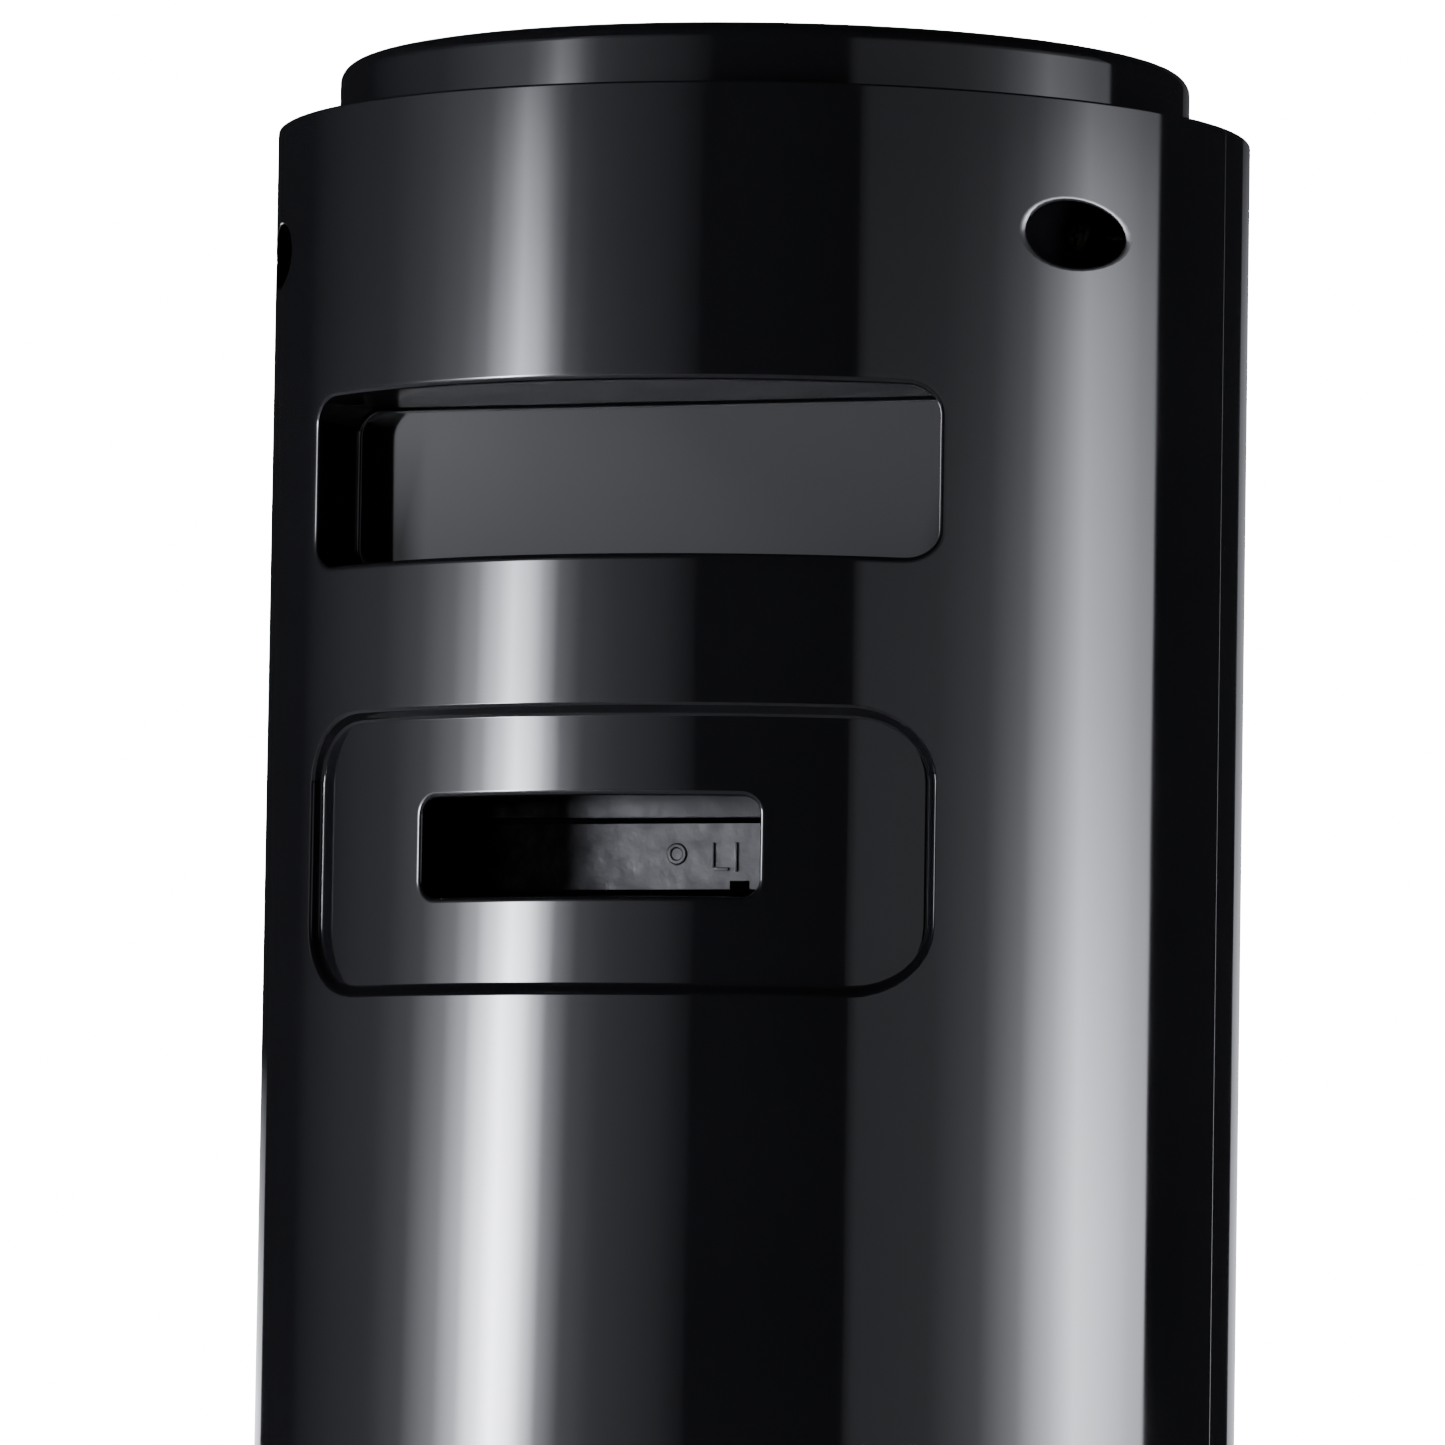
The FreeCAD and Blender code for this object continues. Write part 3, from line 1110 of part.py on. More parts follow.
def top_deck():
    """The deck that closes the column, with the tray for the control board."""
    wall = "(tray_radius + rib_wall)"
    deck = turned("deck_turned", [
        (0, TRAY_FLOOR), (wall, TRAY_FLOOR), (wall, DECK_UNDER), (CORE, DECK_UNDER), (CORE, "rim_height"),
        ("tray_radius", "rim_height"), ("tray_radius", f"{TRAY_FLOOR} + rib_wall"),
        (0, f"{TRAY_FLOOR} + rib_wall")])
    posts = [rod(f"board_post_{row}", 3, (f"{TRAY_FLOOR} + 1", BOARD_LOW), at)
             for row, at in enumerate(control_corners())]
    holes = [rod(f"deck_hole_{angle}", "screw_hole", (f"{DECK_UNDER} - 1", "rim_height + 1"),
                 polar("cap_screw_circle", angle)) for angle in CAP_ANGLES]
    holes.append(rod("deck_cable_hole", "harness_radius + 2",
                     (f"{TRAY_FLOOR} - 1", f"{TRAY_FLOOR} + rib_wall + 1"), ("-deck_cable_x", "-harness_y")))
    return cut("top_deck", fused("deck_solid", [deck] + posts), holes)


def control_corners():
    """Where the posts of the control board stand."""
    return [(x, y) for x in ("-(board_half - 4)", "board_half - 4") for y in ("-(board_deep - 4)", "-4")]


def button_spot(row):
    """The centre of one button on its arc about the cap's centre, toward the front."""
    angle = f"(({row} - 2) * button_step)"
    return (f"button_circle * sin({angle} * 1 deg)", f"-button_circle * cos({angle} * 1 deg)")


def button_holes(name, span):
    """Round holes for all five buttons."""
    return [rod(f"{name}_hole_{row}", "button_radius + button_play", span, button_spot(row))
            for row in range(len(BUTTONS))]


def display_block(name, grow, span):
    """The outline of the display window, grown all round."""
    return block(name, (f"-(display_half + {grow})", f"display_half + {grow}"),
                 (f"-(display_near + display_deep + {grow})", f"-display_near + {grow}"), span)


def top_cap():
    """The low round cap: a top plate with a seat for the overlay, a rounded edge and a skirt."""
    outline = [(0, CAP_UNDER), ("cap_radius - cap_wall", CAP_UNDER), ("cap_radius - cap_wall", CAP_LOW),
               ("cap_radius", CAP_LOW), ("cap_radius", CAP_HIGH), ("overlay_radius + 0.1", CAP_HIGH),
               ("overlay_radius + 0.1", OVERLAY_LOW), (0, OVERLAY_LOW)]
    shell = turned("cap_turned", outline)
    round_edges(shell, "cap_edge", "cap_round", ring_at("cap_radius", CAP_HIGH))
    bosses = [rod(f"cap_boss_{angle}", "boss_radius - 1.5", (f"{CAP_LOW}", f"{CAP_UNDER} + 0.5"),
                  polar("cap_screw_circle", angle)) for angle in CAP_ANGLES]
    pilots = [rod(f"cap_pilot_{angle}", "screw_radius + screw_play", (f"{CAP_LOW} - 1", f"{CAP_UNDER} - 0.5"),
                  polar("cap_screw_circle", angle)) for angle in CAP_ANGLES]
    holes = button_holes("cap", (f"{CAP_UNDER} - 1", f"{CAP_HIGH} + 1"))
    holes.append(display_block("cap_display_hole", 0, (f"{CAP_UNDER} - 1", f"{CAP_HIGH} + 1")))
    return cut("top_cap", fused("cap_solid", [shell] + bosses), pilots + holes)


def cap_screws():
    """Three screws from under the deck into the cap's bosses."""
    return group("cap_screws", [screw(f"cap_screw_{angle}", polar("cap_screw_circle", angle), DECK_UNDER, 1,
                                      "Z", "cap_screw_length") for angle in CAP_ANGLES])


def control_overlay():
    """The thin gloss panel on the cap, pierced for the buttons and the display."""
    disc = rod("overlay_disc", "overlay_radius", (OVERLAY_LOW, CAP_HIGH), (0, 0))
    holes = button_holes("overlay", (f"{OVERLAY_LOW} - 1", f"{CAP_HIGH} + 1"))
    holes.append(display_block("overlay_display_hole", 0, (f"{OVERLAY_LOW} - 1", f"{CAP_HIGH} + 1")))
    return cut("control_overlay", disc, holes)


def display_window():
    """The smoked lens over the display."""
    return display_block("display_window", "-0.1", (CAP_UNDER, f"{CAP_HIGH} - 0.1"))


def display_module():
    """The lamp block of the display, on the control board."""
    return display_block("display_module", "-2", (BOARD_HIGH, f"{BOARD_HIGH} + 8"))


def control_board():
    """The board under the cap."""
    return block("control_board", ("-board_half", "board_half"), ("-board_deep", 0), (BOARD_LOW, BOARD_HIGH))


def tact_switches():
    """One push switch under each button."""
    switches = []
    for row in range(len(BUTTONS)):
        x, y = button_spot(row)
        switches.append(block(f"switch_{row}", (f"{x} - switch_size / 2", f"{x} + switch_size / 2"),
                              (f"{y} - switch_size / 2", f"{y} + switch_size / 2"),
                              (BOARD_HIGH, f"{BOARD_HIGH} + switch_height")))
    return group("tact_switches", switches)


def button(row, name):
    """A round key: a top that fills its hole, a flange that keeps it in, and a stem over its switch."""
    top = f"({CAP_HIGH} - button_sink)"
    under = f"({CAP_UNDER} - fit_gap)"
    key = turned(f"{name}_button", [
        (0, f"{BOARD_HIGH} + switch_height + button_travel + 0.3"),
        (2, f"{BOARD_HIGH} + switch_height + button_travel + 0.3"), (2, f"{under} - 1.5"),
        ("button_flange", f"{under} - 1.5"), ("button_flange", under), ("button_radius", under),
        ("button_radius", top), (0, top)])
    round_edges(key, f"{name}_edge", 0.6, ring_at("button_radius", top))
    x, y = button_spot(row)
    place(key, (x, y, 0))
    return key


def wire_harness():
    """The harness from the power board up the inside of the column to the control board."""
    x, y = number(HARNESS_X), number("harness_y")
    foot, deck = number(f"{COVER_UNDER} - 11"), number(f"{TRAY_FLOOR} - 7")
    turn_in = number("deck_cable_x")
    spots = [FreeCAD.Vector(*spot) for spot in (
        (-number("power_half_x") - 1, -y, foot), (-x, -y, foot), (-x, -y, deck), (-turn_in, -y, deck),
        (-turn_in, -y, number(f"{BOARD_LOW} - 0.4")))]
    path = rounded_path(spots, number("harness_bend"))
    radius = number("harness_radius")
    circle = Part.Wire([Part.makeCircle(radius, spots[0], spots[1] - spots[0])])
    item = doc.addObject("Part::Feature", "wire_harness")
    item.Shape = path.makePipeShell([circle], True, False)
    item.Placement = FreeCAD.Placement()
    return item


def rounded_path(spots, bend):
    """Straight runs joined by tangent arcs of one radius, less where a run is short."""
    edges, start = [], spots[0]
    for before, corner, after in zip(spots, spots[1:], spots[2:]):
        back, ahead = (before - corner), (after - corner)
        radius = min(bend, 0.45 * back.Length, 0.45 * ahead.Length)
        back.normalize()
        ahead.normalize()
        enter, leave = corner + back * radius, corner + ahead * radius
        middle = corner + (back + ahead) * radius * (1 - math.sqrt(0.5))
        edges += [Part.LineSegment(start, enter).toShape(), Part.Arc(enter, middle, leave).toShape()]
        start = leave
    edges.append(Part.LineSegment(start, spots[-1]).toShape())
    return Part.Wire(edges)


# ---------------------------------------------------------------- assembly and output

def build():
    """Make every sub-part and return them in order."""
    makers = [
        base_cover, base_plate, base_weight, rubber_feet, base_screws, column_screws, mains_inlet, inlet_pins,
        power_board, power_parts, rear_shell, front_shell, shell_screws, inner_screws, remote_pocket,
        filter_bay, hinge_pins, catch_plates, door_sensor, filter_door, door_magnets, hepa_frame, hepa_media,
        filter_gasket, pull_tab, prefilter, scroll_front, scroll_rear, inlet_ring, impeller, motor_shaft,
        motor_body, motor_bearings, motor_bushes, outlet_duct, outlet_grille, top_deck, top_cap, cap_screws,
        control_overlay, display_window, display_module, control_board, tact_switches, wire_harness,
    ]
    items = [maker() for maker in makers]
    return items + [button(row, name) for row, name in enumerate(BUTTONS)]


def check(items):
    """Stop if any feature failed or any sub-part has no sound shape."""
    for item in doc.Objects:
        if {"Invalid", "Error"} & set(item.State):
            raise RuntimeError(f"{item.Name}: {item.State}")
    for item in items:
        if item.Shape.isNull() or not item.Shape.isValid():
            raise RuntimeError(f"{item.Label}: no valid shape")


def main():
    """Build the model, check it and write one STEP file for each sub-part."""
    make_sheet()
    items = build()
    doc.recompute()
    check(items)
    os.makedirs("parts", exist_ok=True)
    for item in items:
        item.Shape.exportStep(f"parts/{item.Label}.step")
        print(f"{item.Label}: {len(item.Shape.Solids)} solids, {item.Shape.Volume / 1000:.2f} cm3")


main()
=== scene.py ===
"""Looks of a tower air purifier: gloss ABS shells, cap, base, filters, keys, and the studio they stand in."""
import logging
import math
from dataclasses import dataclass, field
from enum import Enum
from typing import Callable, Sequence

import bmesh
import bpy
from mathutils import Matrix, Vector
from mathutils.geometry import delaunay_2d_cdt
from mathutils.kdtree import KDTree


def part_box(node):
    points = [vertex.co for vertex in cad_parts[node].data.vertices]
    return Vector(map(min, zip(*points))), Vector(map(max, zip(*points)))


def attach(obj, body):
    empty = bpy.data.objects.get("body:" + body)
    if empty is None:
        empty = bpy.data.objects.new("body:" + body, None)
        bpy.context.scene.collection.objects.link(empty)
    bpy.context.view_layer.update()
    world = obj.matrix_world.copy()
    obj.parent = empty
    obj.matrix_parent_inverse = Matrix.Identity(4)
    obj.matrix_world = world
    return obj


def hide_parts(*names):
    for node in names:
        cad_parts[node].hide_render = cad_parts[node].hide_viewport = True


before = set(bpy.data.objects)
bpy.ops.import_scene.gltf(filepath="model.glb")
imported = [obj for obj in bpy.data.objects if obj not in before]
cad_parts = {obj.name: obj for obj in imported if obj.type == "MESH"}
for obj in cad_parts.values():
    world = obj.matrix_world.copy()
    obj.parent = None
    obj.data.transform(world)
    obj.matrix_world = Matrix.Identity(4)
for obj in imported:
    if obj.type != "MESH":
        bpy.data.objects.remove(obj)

logging.basicConfig(level=logging.INFO, format="%(message)s")
LOG = logging.getLogger("tower")

MM = 0.001
WAVES_PER_PITCH = 0.314  # the wave texture's scale for one band a metre
WELD_WITHIN = 2e-6      # points closer than this are one, in metres
MERGE_WITHIN = 1e-7     # the same for flat triangulation
ON_WALL_WITHIN = 4e-6   # how near a point has to be to a wall's radius to count as on it
SOFT_CURVE_POINTS = 4   # a brightness ramp with fewer points than this is a soft curve
FILL_DISTANCE = 3.35    # the fills stand behind the soft boxes, in metres
Point = tuple[float, float]
Loop3 = list[Vector]


# ---------------------------------------------------------------- colour and nodes

def linear(hex_colour: str) -> tuple[float, float, float, float]:
    """Turn an sRGB hex colour into the linear values that shaders use.

    Args:
        hex_colour: six hex digits, with or without a leading #.

    Returns:
        Linear red, green, blue and an alpha of 1.
    """
    digits = hex_colour.lstrip("#")
    parts = [int(digits[i:i + 2], 16) / 255 for i in (0, 2, 4)]
    turned = [v / 12.92 if v <= 0.04045 else ((v + 0.055) / 1.055) ** 2.4 for v in parts]
    return (*turned, 1.0)


def add_node(tree: bpy.types.NodeTree, kind: str, settings: dict | None = None,
             links: dict | None = None) -> bpy.types.Node:
    """Add one node with its settings and incoming links.

    Args:
        tree: the node tree that gets the node.
        kind: the node's type name.
        settings: attribute names, or input names and numbers, with their values.
        links: input names or numbers with the output socket that feeds each.

    Returns:
        The new node.
    """
    item = tree.nodes.new(kind)
    for key, value in (settings or {}).items():
        if isinstance(key, str) and hasattr(item, key) and key not in item.inputs:
            setattr(item, key, value)
        else:
            item.inputs[key].default_value = value
    for key, source in (links or {}).items():
        tree.links.new(source, item.inputs[key])
    return item


@dataclass(frozen=True)
class Finish:
    """A moulded or metal surface: its colour, gloss and fine relief.

    grain_mm is the size of the relief, grain_depth_mm its height, and grain_stretch its stretch along X, Y
    and Z. The colour wanders to tint in patches of patch_mm, and the roughness by spread either way.
    """

    name: str
    colour: str
    roughness: float
    ior: float = 1.5
    metallic: float = 0.0
    grain_mm: float = 0.6
    grain_depth_mm: float = 0.01
    grain_stretch: tuple[float, float, float] = (1.0, 1.0, 1.0)
    spread: float = 0.05
    patch_mm: float = 30.0
    tint: str = ""

    def material(self) -> bpy.types.Material:
        """Return the material, made the first time it is asked for."""
        found = bpy.data.materials.get(self.name)
        return found if found else self.make()

    def make(self) -> bpy.types.Material:
        """Build the node tree: wandering colour and roughness, and a fine bump.

        Returns:
            The new material.
        """
        made = bpy.data.materials.new(self.name)
        made.use_nodes = True
        tree = made.node_tree
        tree.nodes.clear()
        place = add_node(tree, "ShaderNodeTexCoord")
        stretched = add_node(tree, "ShaderNodeMapping", {"Scale": self.grain_stretch},
                             {"Vector": place.outputs["Object"]})
        patches = add_node(tree, "ShaderNodeTexNoise", {"Scale": 1 / (self.patch_mm * MM), "Detail": 4.0},
                           {"Vector": place.outputs["Object"]})
        other = self.tint or self.colour
        shade = add_node(tree, "ShaderNodeMix", {"data_type": "RGBA", 6: linear(self.colour),
                                                 7: linear(other)}, {0: patches.outputs["Fac"]})
        rough = add_node(tree, "ShaderNodeMapRange", {
            "From Min": 0.3, "From Max": 0.7, "To Min": max(0.02, self.roughness - self.spread),
            "To Max": min(1.0, self.roughness + self.spread)}, {"Value": patches.outputs["Fac"]})
        height = self.relief(tree, stretched.outputs["Vector"])
        bump = add_node(tree, "ShaderNodeBump", {"Distance": self.grain_depth_mm * MM}, {"Height": height})
        shader = add_node(tree, "ShaderNodeBsdfPrincipled", {
            "Metallic": self.metallic},
            {"Base Color": shade.outputs[2], "Roughness": rough.outputs["Result"],
             "Normal": bump.outputs["Normal"]})
        if self.metallic < 0.5:
            shader.inputs["IOR"].default_value = self.ior
        add_node(tree, "ShaderNodeOutputMaterial", links={"Surface": shader.outputs["BSDF"]})
        return made

    def relief(self, tree: bpy.types.NodeTree, place: bpy.types.NodeSocket) -> bpy.types.NodeSocket:
        """The height field of the surface, here a fine even grain.

        Args:
            tree: the material's node tree.
            place: coordinates in metres.

        Returns:
            The socket that carries the height.
        """
        grain = add_node(tree, "ShaderNodeTexNoise", {"Scale": 1 / (self.grain_mm * MM), "Detail": 3.0},
                         {"Vector": place})
        return grain.outputs["Fac"]


@dataclass(frozen=True)
class GlossAbs(Finish):
    """Polished ABS from a mirror-finished mould: long soft sink waves under a clear reflection."""

    wave_mm: float = 38.0
    wave_depth_mm: float = 0.035

    def relief(self, tree: bpy.types.NodeTree, place: bpy.types.NodeSocket) -> bpy.types.NodeSocket:
        """Long flow waves with a trace of orange peel on top.

        Args:
            tree: the material's node tree.
            place: coordinates in metres.

        Returns:
            The socket that carries the height.
        """
        wave = add_node(tree, "ShaderNodeTexNoise", {"Scale": 1 / (self.wave_mm * MM), "Detail": 1.0},
                        {"Vector": place})
        peel = add_node(tree, "ShaderNodeTexNoise", {"Scale": 1 / (self.grain_mm * MM), "Detail": 2.0},
                        {"Vector": place})
        ratio = self.wave_depth_mm / self.grain_depth_mm
        both = add_node(tree, "ShaderNodeMath", {"operation": "MULTIPLY_ADD", 1: ratio},
                        {0: wave.outputs["Fac"], 2: peel.outputs["Fac"]})
        return both.outputs[0]


@dataclass(frozen=True)
class PaintedShadeMould(Finish):
    """A raw moulding with painted shade: its own grey toward one side, turned deep black toward the other."""

    # Painted shade along X, in millimetres: where it is fully black, then where it starts; it stands in for the
    # shadow that the slot's edge casts on the bin's back wall.
    black_at_mm: float = 10.0
    painted_shade_none_at_mm: float = -5.0

    def make(self) -> bpy.types.Material:
        """Build the usual tree, then paint shade over it toward one side.

        Returns:
            The new material.
        """
        made = super().make()
        tree = made.node_tree
        shader = next(node for node in tree.nodes if node.type == "BSDF_PRINCIPLED")
        place = add_node(tree, "ShaderNodeTexCoord")
        split = add_node(tree, "ShaderNodeSeparateXYZ", {}, {0: place.outputs["Object"]})
        # Painted shade: how far each point lies in the painted shadow, from 0 to 1 along X.
        deep = add_node(tree, "ShaderNodeMapRange", {
            "interpolation_type": "SMOOTHSTEP", "From Min": self.painted_shade_none_at_mm * MM,
            "From Max": self.black_at_mm * MM}, {"Value": split.outputs["X"]})
        unshaded_colour = shader.inputs["Base Color"].links[0].from_socket
        # The painted shade blends the colour toward near black and turns the metallic up, so that the shaded side
        # gives back next to nothing.
        shade = add_node(tree, "ShaderNodeMix", {"data_type": "RGBA", 7: linear("020202")},
                         {0: deep.outputs["Result"], 6: unshaded_colour})
        tree.links.new(shade.outputs[2], shader.inputs["Base Color"])
        tree.links.new(deep.outputs["Result"], shader.inputs["Metallic"])
        return made


@dataclass(frozen=True)
class WovenMesh(Finish):
    """Nylon mesh: round threads crossing at an even pitch, open between."""

    pitch_mm: float = 1.6

    def relief(self, tree: bpy.types.NodeTree, place: bpy.types.NodeSocket) -> bpy.types.NodeSocket:
        """Two crossing sets of threads.

        Args:
            tree: the material's node tree.
            place: coordinates in metres.

        Returns:
            The socket that carries the height.
        """
        sets = []
        for direction in ("X", "Z"):
            sets.append(add_node(tree, "ShaderNodeTexWave", {
                "bands_direction": direction, "Distortion": 0.0,
                "Scale": WAVES_PER_PITCH / (self.pitch_mm * MM)}, {"Vector": place}))
        both = add_node(tree, "ShaderNodeMath", {"operation": "MAXIMUM"},
                        {0: sets[0].outputs["Fac"], 1: sets[1].outputs["Fac"]})
        return both.outputs[0]


class Look(Enum):
    """Every finish of the object, by the record's material slot."""

    # High-gloss black ABS: near-black body, crisp reflections with slow waves.
    black_gloss = GlossAbs("gloss_abs_black", "0E0E10", 0.06, ior=1.53, grain_mm=2.2,
                           grain_depth_mm=0.0006, spread=0.02, patch_mm=45.0, tint="121214")
    # Spark-eroded ABS: a fine even grain that scatters the light.
    black_matte = Finish("textured_abs_black", "1B1B1D", 0.55, grain_mm=0.7, grain_depth_mm=0.05,
                         tint="222225")
    # Satin ABS of the grille: soft wide reflections.
    black_satin = Finish("satin_abs_black", "141416", 0.34, grain_mm=0.9, grain_depth_mm=0.012,
                         tint="1A1A1D")
    # Unpolished ABS moulding inside the slot: dull grey with flow marks, and painted shade that turns it black
    # toward one side.
    moulded_grey = PaintedShadeMould("raw_moulded_abs", "101012", 0.5, grain_mm=3.0, grain_depth_mm=0.16,
                              spread=0.14, patch_mm=4.0, tint="212126")
    # Painted shadow: black strips on that moulding where shade falls under its step and along its foot; they give
    # back next to nothing.
    groove_black = Finish("painted_shadow_strip_black", "030303", 0.8, metallic=1.0, grain_mm=1.0, tint="060606")
    # Sand-cast iron: dark, coarse and pitted.
    cast_iron = Finish("sand_cast_iron", "3A3A3C", 0.75, metallic=0.9, grain_mm=1.4, grain_depth_mm=0.25,
                       spread=0.15, tint="2A2826")
    # Moulded rubber: deep matte black.
    rubber = Finish("moulded_rubber", "161616", 0.85, ior=1.52, grain_mm=0.5, grain_depth_mm=0.04,
                    tint="1E1E1E")
    # Zinc-plated steel: pale, slightly yellow, brushed by tumbling.
    zinc_screw = Finish("zinc_plated_steel", "B9B7AC", 0.32, metallic=1.0, grain_mm=0.4,
                        grain_depth_mm=0.01, tint="A5A08C")
    # Black-oxide steel: a dark oily sheen.
    black_screw = Finish("black_oxide_steel", "2B2B2E", 0.4, metallic=0.9, grain_mm=0.4,
                         grain_depth_mm=0.01, tint="38383C")
    # Nickel-flashed brass pins: bright with fine drawing marks along them.
    brass_pin = Finish("nickel_flashed_brass", "CFC7A8", 0.25, metallic=1.0, grain_mm=0.3,
                       grain_depth_mm=0.006, grain_stretch=(4.0, 0.3, 4.0), tint="BFB38C")
    # Green solder mask over copper: faint track relief.
    circuit_board = Finish("solder_mask_green", "145A32", 0.35, grain_mm=2.5, grain_depth_mm=0.04,
                           patch_mm=3.0, tint="1C7040")
    # Moulded epoxy of switches and parts: dark, fine and dull.
    dark_component = Finish("moulded_epoxy", "202022", 0.5, grain_mm=0.4, grain_depth_mm=0.01,
                            tint="2A2A2C")
    # Ground steel: clear lines round the pins.
    steel_pin = Finish("ground_steel", "A9A9AC", 0.28, metallic=1.0, grain_mm=0.3, grain_depth_mm=0.008,
                       grain_stretch=(6.0, 1.0, 1.0), tint="969699")
    # Nickel-plated magnet: bright and almost mirror smooth.
    magnet = Finish("nickel_plate", "C9C9C8", 0.12, metallic=1.0, grain_mm=0.6, grain_depth_mm=0.002,
                    tint="B5B5B2")
    # White card of the cartridge: soft fibre mottling.
    filter_card = Finish("white_card", "E4E2DB", 0.8, ior=1.45, grain_mm=0.5, grain_depth_mm=0.05,
                         patch_mm=6.0, tint="D6D3C9")
    # Pleated glass-fibre paper: felted, pure white in the folds' crests.
    filter_media = Finish("glass_fibre_paper", "EFEFEC", 0.9, ior=1.45, grain_mm=0.35,
                          grain_depth_mm=0.08, patch_mm=4.0, tint="DDDDD8")
    # Open-cell foam seal: dark grey with visible cells.
    foam = Finish("open_cell_foam", "3A3A3C", 0.95, grain_mm=0.9, grain_depth_mm=0.4, patch_mm=1.2,
                  tint="202022")
    # White moulded ABS of the pull tab and the lamp block: warm white with a soft shine.
    white_plastic = Finish("moulded_abs_white", "DAD9D4", 0.45, grain_mm=0.7, grain_depth_mm=0.02,
                           tint="CFCEC8")
    # Woven nylon mesh of the prefilter: dark threads with a slight shine.
    mesh_fabric = WovenMesh("woven_nylon_mesh", "1C1C1F", 0.5, ior=1.53, grain_depth_mm=0.35, tint="29292C")
    # Glass-filled nylon of the fan wheel: grey with a cloudy surface.
    grey_plastic = Finish("glass_filled_nylon", "55565A", 0.48, grain_mm=0.8, grain_depth_mm=0.03,
                          spread=0.1, patch_mm=5.0, tint="63646A")
    # Plated pressed steel of the motor can: cool grey with a soft metal sheen.
    motor_steel = Finish("plated_pressed_steel", "8E8E90", 0.35, metallic=1.0, grain_mm=0.5,
                         grain_depth_mm=0.01, tint="7A7A7C")
    # Sintered bronze: warm, granular and oil-dark.
    bronze = Finish("sintered_bronze", "8A6A3C", 0.5, metallic=1.0, grain_mm=0.3, grain_depth_mm=0.03,
                    tint="5E4628")
    # Hard-coated polycarbonate panel: black mirror gloss.
    panel_gloss = Finish("coated_polycarbonate", "0A0A0C", 0.04, ior=1.58, grain_mm=3.0,
                         grain_depth_mm=0.0005, spread=0.015, tint="0D0D0F")
    # Smoked polycarbonate lens over the lamps: a dark mirror, a shade lighter than the panel.
    smoked_lens = Finish("smoked_polycarbonate", "101012", 0.05, ior=1.58, grain_mm=3.0,
                         grain_depth_mm=0.0004, spread=0.015, tint="17171A")
    # Pale grey moulded relief of the key marks: matte against the satin keys.
    mark_grey = Finish("moulded_mark_grey", "A8A8AB", 0.5, grain_mm=0.4, grain_depth_mm=0.01, tint="B4B4B6")
    # Satin ABS key tops: slightly lighter than the panel, so that they stand out from it.
    button_satin = Finish("satin_abs_keys", "2A2A2D", 0.38, grain_mm=0.5, grain_depth_mm=0.01,
                          tint="323236")
    # Braided sleeve of the wire bundle: crossing threads that break its sheen.
    cable_sleeve = WovenMesh("braided_sleeve", "19191B", 0.6, grain_depth_mm=0.2, pitch_mm=0.9,
                             tint="242427")


# ---------------------------------------------------------------- mesh making

def finish_piece(name: str, build: bmesh.types.BMesh, look: Look, body: str, stands_for: Sequence[str] = (),
                 sharp_deg: float = 32.0) -> bpy.types.Object:
    """Turn built geometry into a named piece that rides on a body.

    Args:
        name: the piece's name.
        build: its geometry, which is freed here.
        look: its finish, whose name is also the record's material slot.
        body: the CAD body that it moves with.
        stands_for: the CAD nodes that it replaces.
        sharp_deg: edges that turn by more than this are kept sharp.

    Returns:
        The new object.
    """
    bmesh.ops.remove_doubles(build, verts=build.verts, dist=WELD_WITHIN)
    bmesh.ops.recalc_face_normals(build, faces=build.faces)
    mesh = bpy.data.meshes.new(name)
    build.to_mesh(mesh)
    build.free()
    mesh.materials.append(look.value.material())
    mesh.shade_smooth()
    mesh.set_sharp_from_angle(angle=math.radians(sharp_deg))
    piece = bpy.data.objects.new(name, mesh)
    bpy.context.scene.collection.objects.link(piece)
    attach(piece, body)
    if stands_for:
        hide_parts(*stands_for)
    LOG.info("%s: %d faces", name, len(mesh.polygons))
    return piece


def bridge(build: bmesh.types.BMesh, loops: Sequence[Loop3], closed: bool = True) -> None:
    """Join loops with the same number of points by quads, in order.

    Args:
        build: the geometry that gets them.
        loops: the loops.
        closed: whether each loop runs back to its start.
    """
    rows = [[build.verts.new(spot) for spot in loop] for loop in loops]
    count = len(rows[0])
    last = count if closed else count - 1
    for low, high in zip(rows, rows[1:]):
        for i in range(last):
            j = (i + 1) % count
            build.faces.new((low[i], low[j], high[j], high[i]))


def cap(build: bmesh.types.BMesh, loop: Loop3) -> None:
    """Close a flat loop with triangles."""
    face = build.faces.new([build.verts.new(spot) for spot in loop])
    bmesh.ops.triangulate(build, faces=[face])


def arc(centre: Point, radius: float, start_deg: float, end_deg: float, steps: int = 8) -> list[Point]:
    """Points along an arc, both ends included."""
    angles = [math.radians(start_deg + (end_deg - start_deg) * i / steps) for i in range(steps + 1)]
    return [(centre[0] + radius * math.cos(a), centre[1] + radius * math.sin(a)) for a in angles]


